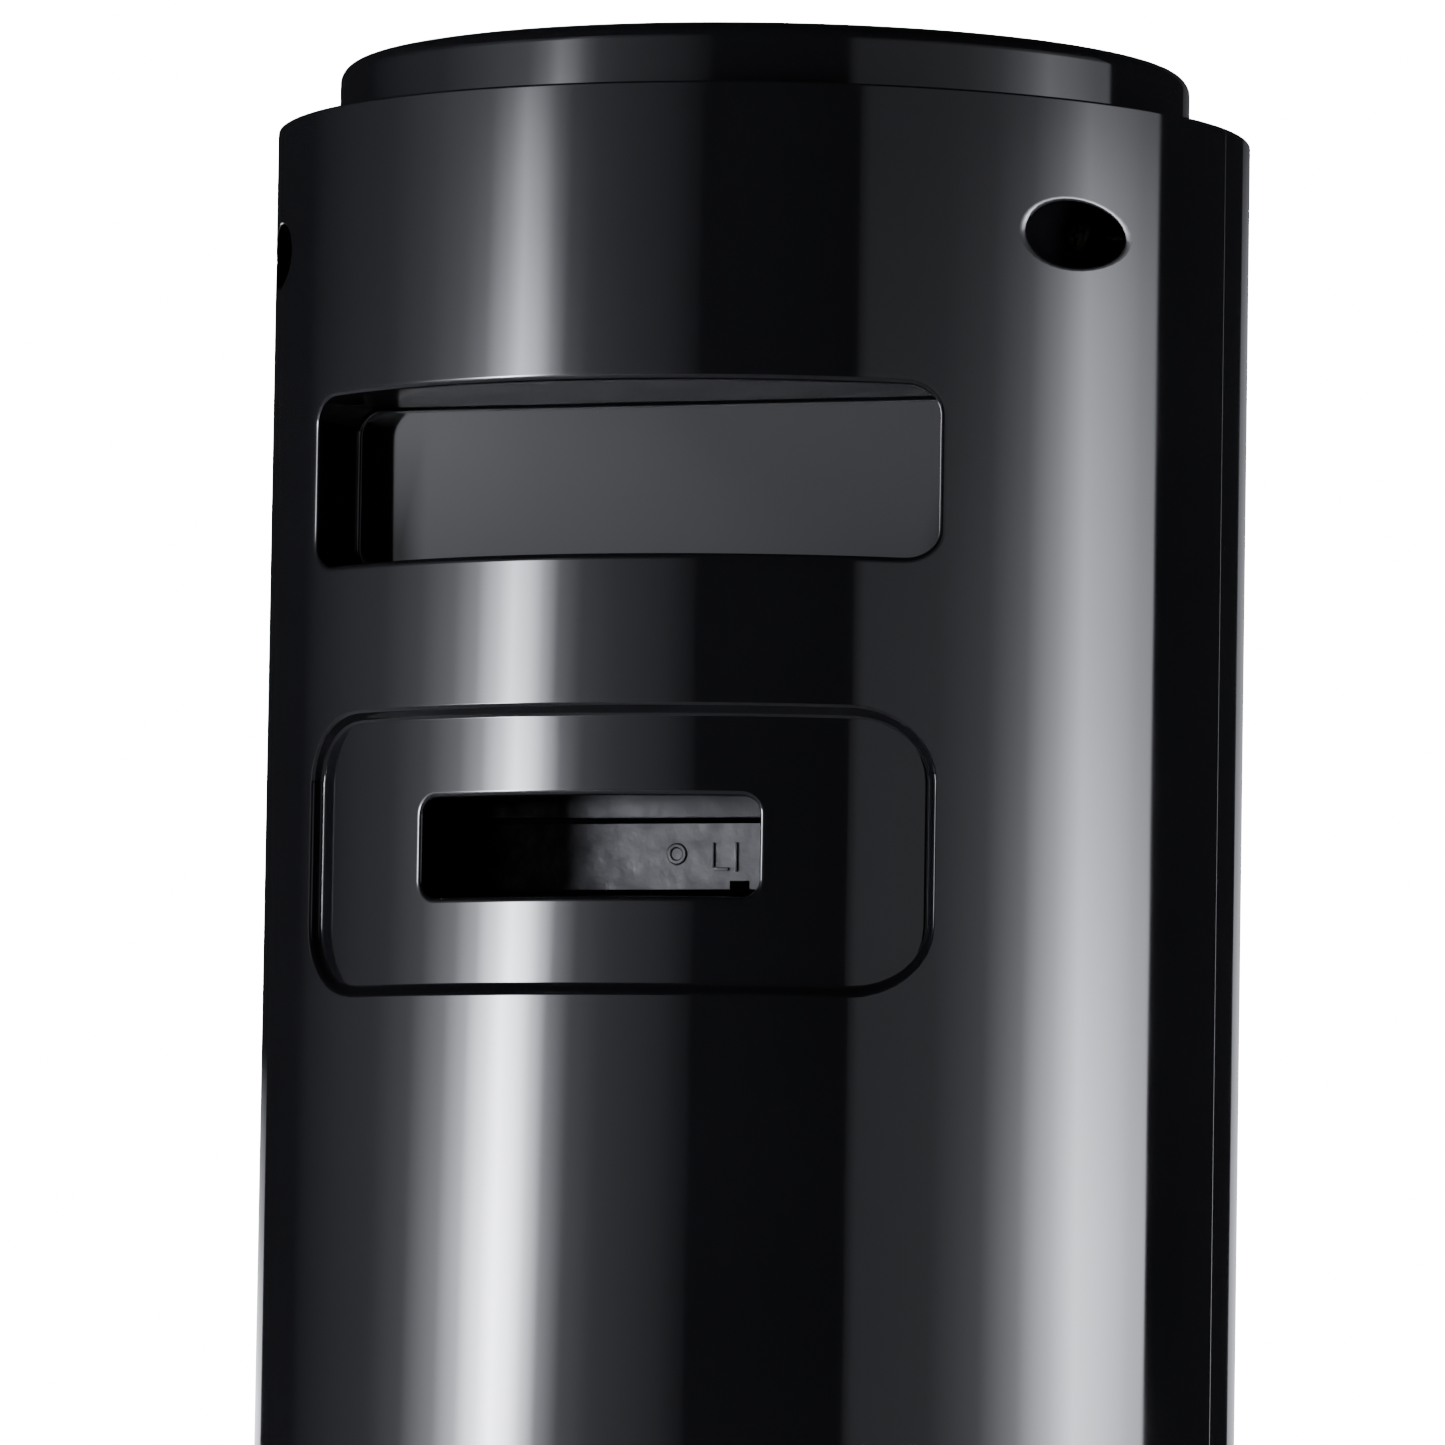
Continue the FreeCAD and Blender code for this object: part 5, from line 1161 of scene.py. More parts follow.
@dataclass(frozen=True)
class Stroke:
    """One stroke of a mark: a run of points in millimetres, with a width, standing on the key's top."""

    points: tuple[Point, ...]
    width_mm: float = 0.6
    rise_mm: float = 0.12
    top_share: float = 0.7

    def build(self, build: bmesh.types.BMesh, centre: Point, top: float) -> None:
        """Make the stroke as a low closed ridge.

        Args:
            build: the geometry that gets it.
            centre: where the mark's middle lies.
            top: the height of the face under it.
        """
        half = self.width_mm * MM / 2
        spots = [Vector((centre[0] + x * MM, centre[1] + y * MM)) for x, y in self.points]
        rows = []
        for row, spot in enumerate(spots):
            ahead = (spots[min(row + 1, len(spots) - 1)] - spots[max(row - 1, 0)]).normalized()
            side = Vector((-ahead.y, ahead.x)) * half
            left, right = spot + side, spot - side
            slim_left, slim_right = spot + side * self.top_share, spot - side * self.top_share
            high = top + self.rise_mm * MM
            rows.append([Vector((*left, top)), Vector((*slim_left, high)), Vector((*slim_right, high)),
                         Vector((*right, top))])
        bridge(build, rows)
        cap(build, rows[0])
        cap(build, rows[-1])


def sweep(radius_mm: float, start_deg: float, end_deg: float, centre: Point = (0.0, 0.0), steps: int = 18
          ) -> Stroke:
    """An arc stroke about a point."""
    return Stroke(tuple(arc(centre, radius_mm, start_deg, end_deg, steps)))


def spoke(inner_mm: float, outer_mm: float, angle: float) -> Stroke:
    """A straight stroke that points away from the key's centre."""
    return Stroke(tuple((r * math.cos(angle), r * math.sin(angle)) for r in (inner_mm, outer_mm)), 0.45)


def blade(turn_deg: float, radius_mm: float = 1.3) -> Stroke:
    """One curved fan blade, out along an angle from the key's centre."""
    angle = math.radians(turn_deg)
    return sweep(1.2, turn_deg, turn_deg + 180, (radius_mm * math.cos(angle), radius_mm * math.sin(angle)))


# The marks: a lamp with rays, a clock, the usual on-off ring and bar, fan blades, and a reset arrow.
KEY_MARKS: dict[str, tuple[Stroke, ...]] = {
    "light_key": (sweep(1.3, -180, 175), *(spoke(1.9, 2.7, k * math.pi / 4) for k in range(8))),
    "timer_key": (sweep(2.5, -180, 175), Stroke(((0, 1.7), (0, 0), (1.2, -0.6)), 0.5)),
    "power_key": (sweep(2.4, 125, 415, steps=24), Stroke(((0, 0.9), (0, 3.0)))),
    "speed_key": tuple(blade(90 + k * 120) for k in range(3)),
    "reset_key": (sweep(2.3, 60, 350, steps=22), Stroke(((0.5, 2.9), (1.35, 1.9), (0.2, 1.3)), 0.5)),
}


# ---------------------------------------------------------------- door and filters

@dataclass
class Door:
    """The louvred door: a round skin with three ladders of slots, and the rails that carry the filters."""

    radius: float
    high: float
    low: float = 73 * MM
    half_width: float = 70 * MM
    wall: float = 2.6 * MM
    lip: float = 0.5 * MM
    edge_round: float = 0.5 * MM
    slot_half: float = 19 * MM
    slot_tall: float = 5.2 * MM
    slot_corner: float = 2.0 * MM
    pitch: float = 10.4 * MM
    first: float = 14 * MM
    columns: tuple[float, ...] = (-42 * MM, 0.0, 42 * MM)
    rows: int = 30
    rail_x: float = 57.5 * MM
    rail_thick: float = 2 * MM
    rail_front: float = 36 * MM
    rail_top: float = 391 * MM
    shelf_low: float = 5.5 * MM
    shelf_thick: float = 2.5 * MM
    shelf_front: float = 28 * MM
    hinge: Point = (81.5 * MM, 74.5 * MM)
    lug_radius: float = 3 * MM
    pin_radius: float = 1.65 * MM
    skin_bite: float = 1 * MM
    lug_x: float = 14 * MM
    lug_half: float = 2.65 * MM
    web_high: float = 4 * MM
    cup_low: tuple[float, float, float] = (-4.5 * MM, 44.2 * MM, 389 * MM)
    cup_high: tuple[float, float, float] = (5.5 * MM, 50 * MM, 397 * MM)
    cup_x: float = 63 * MM

    def build(self) -> None:
        """Make the door's skin and the parts moulded on its inside."""
        build = bmesh.new()
        inner = self.radius - self.wall
        slots = [Outline(x - self.slot_half, x + self.slot_half, z, z + self.slot_tall, self.slot_corner,
                         side_step=4.5 * MM, corner_steps=4)
                 for x in self.columns for z in self.slot_heights()]
        full = self.outline(0)
        start = self.outline(self.edge_round)
        RoundSheet(self.radius, self.turned(start, self.radius), [slot.grown(self.lip) for slot in slots],
                   angle_step_deg=4).build(build)
        RoundSheet(inner, self.turned(full, inner), [slot.grown(0) for slot in slots], angle_step_deg=8,
                   height_step=30 * MM).build(build)
        bridge(build, rounded(on_round(start, self.radius), on_round(full, self.radius),
                              on_round(full, self.radius, back=self.edge_round), 3) + [on_round(full, inner)])
        for slot in slots:
            bridge(build, lip_loops(slot, self.radius, self.lip, 3) + [on_round(slot.grown(0), inner)])
        self.inside(build, inner)
        door = finish_piece("filter_door_louvred", build, Look.black_gloss, "door", ["filter_door"])
        true_normals(door, round_wall(self.radius))

    def slot_heights(self) -> list[float]:
        """The foot of each slot."""
        return [self.low + self.first + row * self.pitch for row in range(self.rows)]

    def outline(self, inset: float) -> list[Point]:
        """The door's own outline, drawn in by a distance."""
        return Outline(-self.half_width, self.half_width, self.low, self.high, 1.0 * MM, side_step=5 * MM,
                       corner_steps=4).grown(-inset)

    def turned(self, points: Sequence[Point], radius: float) -> list[Point]:
        """Points of the X-Z plane as (angle, height) on a round wall."""
        return [(math.asin(x / radius), z) for x, z in points]

    def inside(self, build: bmesh.types.BMesh, inner: float) -> None:
        """The rails, the shelf, the hinge lugs and the magnet cups.

        Args:
            build: the door's geometry.
            inner: the radius of the skin's inside.
        """
        shelf = self.low + self.shelf_low
        reach = math.sqrt(inner ** 2 - (self.rail_x + self.rail_thick) ** 2) - 0.1 * MM
        half = self.rail_thick / 2
        for side in (-1, 1):
            x = side * self.rail_x
            slab(build, (x - half, self.rail_front, shelf + self.shelf_thick),
                 (x + half, reach, self.rail_top), 0.3 * MM)
            cup_place = Vector((side * self.cup_x, 0, 0))
            slab(build, cup_place + Vector(self.cup_low), cup_place + Vector(self.cup_high), 0.4 * MM)
            self.lug(build, side * self.lug_x)
        self.shelf(build, inner, shelf)

    def lug(self, build: bmesh.types.BMesh, x: float) -> None:
        """One hinge lug: a ring round the pin that grows up into a web on the skin.

        Args:
            build: the door's geometry.
            x: the middle of the lug.
        """
        y, z = self.hinge
        skin = math.sqrt((self.radius - self.skin_bite) ** 2 - (abs(x) + self.lug_half) ** 2)
        side = [(y + r * math.cos(a), z + r * math.sin(a)) for r, a in
                ((self.lug_radius, math.radians(180 + 15 * k)) for k in range(13))]
        side += [(skin, z), (skin, z + self.web_high), (y - self.lug_radius, z + self.web_high)]
        hole = [(y + self.pin_radius * math.cos(a), z + self.pin_radius * math.sin(a))
                for a in (math.radians(15 * k) for k in range(24))]
        ends = (x - self.lug_half, x + self.lug_half)
        for end in ends:
            before = set(build.verts)
            flat_sheet(build, side, [hole], 0.0)
            for vert in set(build.verts) - before:
                vert.co = Vector((end, vert.co.x, vert.co.y))
        for loop in (side, hole):
            bridge(build, [[Vector((end, a, b)) for a, b in loop] for end in ends])

    def shelf(self, build: bmesh.types.BMesh, inner: float, low: float) -> None:
        """The shelf under the cartridge, cut round to meet the skin.

        Args:
            build: the door's geometry.
            inner: the radius of the skin's inside.
            low: the height of its underside.
        """
        half = self.rail_x + self.rail_thick / 2
        edge = [(half, self.shelf_front)]
        edge += [(x, math.sqrt(inner ** 2 - x * x) - 0.05 * MM)
                 for x in (half - 2 * half * k / 24 for k in range(25))]
        edge.append((-half, self.shelf_front))
        for z in (low, low + self.shelf_thick):
            flat_sheet(build, edge, [], z)
        bridge(build, [level(edge, low), level(edge, low + self.shelf_thick)])


@dataclass
class Cartridge:
    """What rides in the door: the pleated pack, the woven prefilter, the foam seal and the pull tab."""

    media: tuple[Vector, Vector]
    mesh: tuple[Vector, Vector]
    seal: tuple[Vector, Vector]
    tab: tuple[Vector, Vector]
    pleat_pitch: float = 4.0 * MM
    paper: float = 0.55 * MM
    mesh_frame: float = 4.5 * MM
    thread_pitch: float = 2.6 * MM
    thread: float = 0.42 * MM
    seal_width: float = 7.0 * MM
    seal_soft: float = 1.8 * MM
    bar_set_back: float = 0.6 * MM
    bevel: float = 0.5 * MM
    tab_soft: float = 0.2 * MM

    def build(self) -> None:
        """Make the four pieces."""
        self.pleats()
        self.prefilter()
        self.foam_seal()
        self.pull_tab()

    def pleats(self) -> None:
        """The paper folded in even pleats."""
        build = bmesh.new()
        low, high = self.media
        count = int((high.x - low.x - self.paper * 3) / self.pleat_pitch)
        start = (low.x + high.x) / 2 - count * self.pleat_pitch / 2
        line = []
        for row in range(count * 2 + 1):
            deep = low.y + self.paper if row % 2 else high.y - self.paper
            line.append((start + row * self.pleat_pitch / 2, deep))
        front = [(x - self.paper / 2, y) for x, y in line]
        back = [(x + self.paper / 2, y) for x, y in reversed(line)]
        edge = front + back
        for z in (low.z, high.z):
            flat_sheet(build, edge, [], z)
        bridge(build, [level(edge, low.z), level(edge, high.z)])
        finish_piece("hepa_pleats", build, Look.filter_media, "door", ["hepa_media"], sharp_deg=25)

    def prefilter(self) -> None:
        """A slim frame with crossing threads."""
        build = bmesh.new()
        low, high = self.mesh
        wide = self.mesh_frame
        for x in (low.x, high.x - wide):
            slab(build, (x, low.y, low.z), (x + wide, high.y, high.z), self.bevel)
        middle = (low.z + high.z - wide) / 2
        for z, back in ((low.z, high.y), (high.z - wide, high.y), (middle, high.y - self.bar_set_back)):
            slab(build, (low.x + wide, low.y, z), (high.x - wide, back, z + wide), self.bevel)
        face = (low.y + high.y) / 2
        half = self.thread / 2
        across = int((high.x - low.x - 2 * wide) / self.thread_pitch)
        for row in range(1, across):
            x = low.x + wide + row * self.thread_pitch
            slab(build, (x - half, face, low.z + wide), (x + half, face + self.thread, high.z - wide))
        upright = int((high.z - low.z - 2 * wide) / self.thread_pitch)
        for row in range(1, upright):
            z = low.z + wide + row * self.thread_pitch
            slab(build, (low.x + wide, face - self.thread, z - half), (high.x - wide, face, z + half))
        finish_piece("prefilter_mesh", build, Look.mesh_fabric, "door", ["prefilter"])

    def foam_seal(self) -> None:
        """The foam ring, pillowed between its edges."""
        build = bmesh.new()
        low, high = self.seal
        outer = Outline(low.x, high.x, low.z, high.z, 3 * MM, side_step=8 * MM)
        wide, soft = self.seal_width, self.seal_soft
        loops = [on_plane(outer.grown(0), high.y)]
        for side, turns in ((1, (0, 30, 60, 90)), (-1, (90, 60, 30, 0))):
            for angle in map(math.radians, turns):
                inset = soft * (1 - math.cos(angle)) if side > 0 else wide - soft * (1 - math.cos(angle))
                loops.append(on_plane(outer.grown(-inset), low.y + soft * (1 - math.sin(angle))))
        loops.append(on_plane(outer.grown(-wide), high.y))
        bridge(build, loops + [loops[0]])
        finish_piece("foam_seal", build, Look.foam, "door", ["filter_gasket"], sharp_deg=60)

    def pull_tab(self) -> None:
        """The thin tab with rounded corners."""
        build = bmesh.new()
        low, high = self.tab
        outline = Outline(low.x, high.x, low.z, high.z, 1.8 * MM, corner_steps=6)
        soft = self.tab_soft
        loops = [on_plane(outline.grown(-soft), low.y), on_plane(outline.grown(0), low.y + soft),
                 on_plane(outline.grown(0), high.y - soft), on_plane(outline.grown(-soft), high.y)]
        bridge(build, loops)
        cap(build, loops[0])
        cap(build, loops[-1])
        finish_piece("pull_tab_soft", build, Look.white_plastic, "door", ["pull_tab"])


@dataclass(frozen=True)
class WallMark:
    """A low mark on the bin's back wall, in millimetres: where it starts, its width and its height."""

    left: float
    low: float
    wide: float
    tall: float

    def build(self, build: bmesh.types.BMesh, face: float, rise: float, bevel: float) -> None:
        """Make the mark as a slab on the wall.

        Args:
            build: the geometry that gets it.
            face: the depth of the wall's face.
            rise: how far the mark stands off the wall.
            bevel: the width of its bevels.
        """
        slab(build, (self.left * MM, face, self.low * MM),
             ((self.left + self.wide) * MM, face + rise, (self.low + self.tall) * MM), bevel)


@dataclass
class RemoteBin:
    """The rough-moulded bin behind the slot, with the marks that the mould left on its back wall, and black strips
    of painted shadow on that wall.
    """

    back: float = 68.4 * MM
    wall: float = 1.8 * MM
    front: float = 84.5 * MM
    cove: float = 1.0 * MM
    inside: Outline = field(default_factory=lambda: Outline(
        -33.7 * MM, 33.7 * MM, 505.9 * MM, 575.1 * MM, 1.2 * MM))
    pin_mark: Point = (-11.8 * MM, 564.2 * MM)
    pin_ring: tuple[Point, ...] = ((2.0 * MM, 0.0), (1.7 * MM, 0.35 * MM), (1.25 * MM, 0.35 * MM),
                                   (1.0 * MM, 0.05 * MM))
    step: WallMark = WallMark(-33.5, 570.6, 67.0, 4.4)
    strokes: tuple[WallMark, ...] = (WallMark(-19.0, 561.8, 0.6, 4.4), WallMark(-21.8, 561.2, 2.8, 0.6),
                                     WallMark(-23.4, 561.0, 0.6, 5.2))
    # Painted shadow: thin black strips standing on the back wall, under the step and along the foot, and a small
    # black patch above the foot.
    grooves: tuple[WallMark, ...] = (WallMark(-33.4, 569.6, 66.8, 1.0), WallMark(-33.4, 556.0, 66.8, 1.9),
                                     WallMark(-25.6, 557.9, 3.6, 1.5))

    def build(self) -> None:
        """Make the bin, and the black strips of painted shadow on its wall."""
        build = bmesh.new()
        mouth, outside = self.inside.grown(0), self.inside.grown(self.wall)
        loops = [on_round(mouth, self.front)]
        loops += rounded(on_plane(mouth, self.back + self.cove), on_plane(mouth, self.back),
                         on_plane(self.inside.grown(-self.cove), self.back), 3)
        bridge(build, loops)
        cap(build, loops[-1])
        shell = [on_round(mouth, self.front), on_round(outside, self.front),
                 on_plane(outside, self.back - self.wall)]
        bridge(build, shell)
        cap(build, shell[-1])
        self.mould_marks(build)
        finish_piece("remote_bin_moulded", build, Look.moulded_grey, "tower", ["remote_pocket"])
        # The painted shadow strips, a hair off the wall, in a black that gives back next to nothing.
        dark = bmesh.new()
        for shadow_strip in self.grooves:
            shadow_strip.build(dark, self.back, 0.25 * MM, 0.1 * MM)
        finish_piece("remote_bin_painted_shadows", dark, Look.groove_black, "tower")

    def mould_marks(self, build: bmesh.types.BMesh) -> None:
        """The step near the top, the ejector-pin ring and the small raised strokes beside it.

        Args:
            build: the bin's geometry.
        """
        self.step.build(build, self.back, 1.2 * MM, 0.3 * MM)
        rings = [on_plane(circle(radius, self.pin_mark, 28), self.back + rise)
                 for radius, rise in self.pin_ring]
        bridge(build, rings)
        cap(build, rings[-1])
        for stroke in self.strokes:
            stroke.build(build, self.back, 0.4 * MM, 0.12 * MM)


# ---------------------------------------------------------------- screws and feet

@dataclass(frozen=True)
class PanScrew:
    """A pan-head screw: a domed head with a cross recess, and a threaded shank that ends in a point.

    head is the middle of the head's top, out the way it faces, and length the whole length.
    """

    head: Vector
    out: Vector
    length: float
    head_radius: float = 3.6 * MM
    head_high: float = 2.2 * MM
    flat: float = 1.9 * MM
    shank: float = 1.6 * MM
    root: float = 1.3 * MM
    pitch: float = 1.25 * MM
    thread_rise: float = 0.35 * MM
    run_out: float = 0.5 * MM
    dome: float = 1.3 * MM
    rim_round: float = 0.2 * MM
    point: float = 0.25 * MM
    recess_deep: float = 1.3 * MM
    recess_mouth: Point = (1.55 * MM, 0.45 * MM)
    recess_foot: Point = (0.9 * MM, 0.3 * MM)
    steps: int = 32

    def build(self, build: bmesh.types.BMesh) -> None:
        """Make the screw upright about the origin and then set it in its place.

        Args:
            build: the geometry that gets it.
        """
        before = set(build.verts)
        mouth, foot = self.cross(*self.recess_mouth), self.cross(*self.recess_foot)
        flat_sheet(build, circle(self.flat, steps=self.steps), [mouth], 0.0)
        bridge(build, [level(mouth, 0.0), level(foot, -self.recess_deep)])
        cap(build, level(foot, -self.recess_deep))
        rings = [level(circle(radius, steps=self.steps), z) for radius, z in self.profile()]
        bridge(build, rings)
        cap(build, rings[-1])
        turn = Vector((0, 0, 1)).rotation_difference(self.out).to_matrix()
        for vert in set(build.verts) - before:
            vert.co = self.head + turn @ vert.co

    def profile(self) -> list[Point]:
        """The outline from the head's flat to the point.

        Returns:
            (radius, height) points.
        """
        line = []
        for angle in (math.radians(18 * step) for step in range(6)):
            radius = self.flat + (self.head_radius - self.flat) * math.sin(angle)
            line.append((radius, -self.dome * (1 - math.cos(angle))))
        seat = -self.head_high
        line += [(self.head_radius, seat + self.rim_round), (self.head_radius - self.rim_round, seat),
                 (self.root, seat)]
        turns = int((self.length - self.head_high - 2 * MM) / self.pitch)
        for turn in range(turns):
            z = seat - self.run_out - turn * self.pitch
            line += [(self.root, z), (self.shank, z - self.thread_rise),
                     (self.root, z - 2 * self.thread_rise)]
        line.append((self.point, -self.length))
        return line

    @staticmethod
    def cross(arm: float, half: float) -> list[Point]:
        """A plus sign.

        Args:
            arm: the reach of each arm.
            half: half the width of each arm.

        Returns:
            Its corners, anticlockwise.
        """
        return [(half, arm), (-half, arm), (-half, half), (-arm, half), (-arm, -half), (-half, -half),
                (-half, -arm), (half, -arm), (half, -half), (arm, -half), (arm, half), (half, half)]


@dataclass(frozen=True)
class ScrewGroup:
    """Screws of one kind: the CAD node they stand for, their finish, and where their heads are."""

    node: str
    look: Look
    out: Vector
    length: float
    heads: tuple[tuple[float, float, float], ...]

    def build(self) -> None:
        """Make all the screws of the group as one piece."""
        build = bmesh.new()
        for spot in self.heads:
            PanScrew(Vector(spot) * MM, self.out, self.length).build(build)
        finish_piece(self.node + "_crossed", build, self.look, "tower", [self.node])


def on_circle(radius: float, angles: Sequence[float], z: float) -> tuple[tuple[float, float, float], ...]:
    """Places on a circle about the column, in millimetres."""
    return tuple((radius * math.cos(math.radians(a)), radius * math.sin(math.radians(a)), z) for a in angles)


def screw_groups() -> list[ScrewGroup]:
    """Every group of screws in the tower.

    Returns:
        The groups, with the places of their heads in millimetres.
    """
    up, down, rear = Vector((0, 0, 1)), Vector((0, 0, -1)), Vector((0, 1, 0))
    sides = (-77, 77)
    inner = [(x, y, z) for x in sides for y, z in
             ((24.7, 100), (24.7, 370), (-7.3, 440), (-7.3, 506), (-7.3, 600))]
    return [
        ScrewGroup("shell_screws", Look.zinc_screw, rear, 20.2 * MM,
                   tuple((x, 14.2, z) for x in sides for z in (54, 675.8))),
        ScrewGroup("inner_screws", Look.zinc_screw, rear, 17.2 * MM, tuple(inner)),
        ScrewGroup("base_screws", Look.black_screw, down, 14.2 * MM, on_circle(106, range(0, 360, 60), 0.8)),
        ScrewGroup("column_screws", Look.zinc_screw, down, 8.5 * MM,
                   on_circle(80.7, (50, 130, 230, 310), 28.8)),
        ScrewGroup("cap_screws", Look.zinc_screw, down, 10.2 * MM, on_circle(72.5, (90, 210, 330), 695.2)),
    ]


@dataclass
class RubberFeet:
    """Six pads with a hollow underside and a soft lower edge."""

    radius: float = 9 * MM
    height: float = 3 * MM
    circle_mm: float = 108
    edge: float = 0.8 * MM
    hollow: tuple[Point, ...] = ((5.2 * MM, 0.5 * MM), (5.9 * MM, 0.0))

    def build(self) -> None:
        """Make the pads."""
        build = bmesh.new()
        profile = [*self.hollow]
        profile += arc((self.radius - self.edge, self.edge), self.edge, -90, 0, 5)
        profile.append((self.radius, self.height))
        for x, y, _ in on_circle(self.circle_mm, range(30, 390, 60), 0):
            rings = [level(circle(r, (x * MM, y * MM), 40), z) for r, z in profile]
            bridge(build, rings)
            cap(build, rings[0])
            cap(build, rings[-1])
        finish_piece("rubber_feet_moulded", build, Look.rubber, "tower", ["rubber_feet"])


# ---------------------------------------------------------------- stage

@dataclass
class Studio:
    """The pale room: floor, backdrop light, two tall soft boxes, a rim strip, and the camera.

    Angles are in degrees about the column's axis from the camera's direction, anticlockwise from above.
    """

    camera_place: Vector = field(default_factory=lambda: Vector((-0.6714, 1.7444, 0.4706)))
    lens: float = 252.64
    sensor: float = 36.0
    yaw_deg: float = -0.186
    pitch_deg: float = 3.722
    roll_deg: float = 0.903
    floor_radius: float = 3.0
    backdrop_strength: float = 20.0
    surround_strength: float = 0.04

    def build(self) -> None:
        """Set the floor, the lights, the world and the camera."""
        self.floor()
        self.world()
        self.lights()
        self.camera()

    def camera(self) -> None:
        """A long lens a little under the rim's height, looking slightly up."""
        ahead = Vector((-self.camera_place.x, -self.camera_place.y, 0)).normalized()
        right = ahead.cross(Vector((0, 0, 1)))
        yaw, pitch, roll = (math.radians(v) for v in (self.yaw_deg, self.pitch_deg, self.roll_deg))
        ahead = (ahead * math.cos(yaw) + right * math.sin(yaw)).normalized()
        right = ahead.cross(Vector((0, 0, 1)))
        look = ahead * math.cos(pitch) + Vector((0, 0, math.sin(pitch)))
        up = right.cross(look)
        turned_right = right * math.cos(roll) + up * math.sin(roll)
        turned_up = turned_right.cross(look)
        data = bpy.data.cameras.new("camera")
        data.lens = self.lens
        data.sensor_width = self.sensor
        data.clip_end = 50
        eye = bpy.data.objects.new("camera", data)
        frame_axes = Matrix((turned_right, turned_up, -look)).transposed().to_4x4()
        eye.matrix_world = Matrix.Translation(self.camera_place) @ frame_axes
        bpy.context.scene.collection.objects.link(eye)
        bpy.context.scene.camera = eye

    def floor(self) -> None:
        """A plain pale floor."""
        build = bmesh.new()
        bmesh.ops.create_circle(build, cap_ends=True, segments=96, radius=self.floor_radius)
        mesh = bpy.data.meshes.new("floor")
        build.to_mesh(mesh)
        build.free()
        floor = bpy.data.objects.new("floor", mesh)
        paint = Finish("pale_floor", "F4F4F5", 0.8, grain_mm=4.0, grain_depth_mm=0.02, tint="F0F0F1")
        mesh.materials.append(paint.material())
        bpy.context.scene.collection.objects.link(floor)

    def world(self) -> None:
        """White behind the object and a dim surround in its reflections."""
        world = bpy.data.worlds.new("studio")
        world.use_nodes = True
        tree = world.node_tree
        tree.nodes.clear()
        seen = add_node(tree, "ShaderNodeBackground", {"Color": linear("FFFFFF"),
                                                       "Strength": self.backdrop_strength})
        around = add_node(tree, "ShaderNodeBackground", {"Color": linear("8C8C92"),
                                                         "Strength": self.surround_strength})
        path = add_node(tree, "ShaderNodeLightPath")
        both = add_node(tree, "ShaderNodeMixShader", {}, {0: path.outputs["Is Camera Ray"],
                                                          1: around.outputs[0], 2: seen.outputs[0]})
        add_node(tree, "ShaderNodeOutputWorld", {}, {"Surface": both.outputs[0]})
        bpy.context.scene.world = world

    def lights(self) -> None:
        """The soft boxes: tall curved sheets whose light fades toward their sides and toward the top."""
        even = ((0.0, 1.0), (0.34, 1.0), (0.45, 0.65), (0.7, 0.3), (1.0, 0.2))
        steep = ((0.0, 1.0), (0.2, 1.0), (0.32, 0.38), (0.41, 0.13), (0.455, 0.03), (0.6, 0.01), (1.0, 0.0))
        gentle = ((0.0, 1.0), (0.2, 1.0), (0.32, 0.47), (0.41, 0.28), (0.455, 0.08), (0.6, 0.02), (1.0, 0.0))
        low_only = ((0.0, 1.0), (0.16, 1.0), (0.2, 0.3), (0.24, 0.0), (1.0, 0.0))
        boxes = (
            SoftBox("fill_left", -132, -14, 1.45, even, (
                (0.0, 0.0), (0.12, 0.1), (0.3, 0.3), (0.5, 1.0), (0.78, 0.6), (0.94, 0.28), (1.0, 0.06)),
                FILL_DISTANCE),
            SoftBox("soft_box_left", -102, -38, 100.0, steep, (
                (0.0, 0.0), (0.2, 0.003), (0.36, 0.035), (0.46, 0.13), (0.55, 0.5), (0.61, 1.0), (0.67, 0.7),
                (0.73, 0.25), (0.79, 0.05), (0.88, 0.006), (1.0, 0.0)), lean_deg=15),
            SoftBox("fill_right", 22, 106, 0.75, even, (
                (0.0, 0.2), (0.03, 0.7), (0.5, 1.0), (1.0, 0.8)), FILL_DISTANCE),
            SoftBox("soft_box_right", 42, 105.5, 25.0, gentle, (
                (0.0, 0.0), (0.2, 0.03), (0.36, 0.15), (0.5, 0.5), (0.62, 1.0), (0.75, 0.72), (0.9, 0.4),
                (0.99, 0.3), (1.0, 0.0))),
            SoftBox("strip_right", 156, 186, 1.3, gentle, ((0.0, 0.8), (0.5, 1.0), (1.0, 0.8))),
            SoftBox("strip_left", -186, -158, 3.0, low_only, ((0.0, 0.8), (0.5, 1.0), (1.0, 0.8))),
        )
        for box in boxes:
            box.build(self.camera_place)


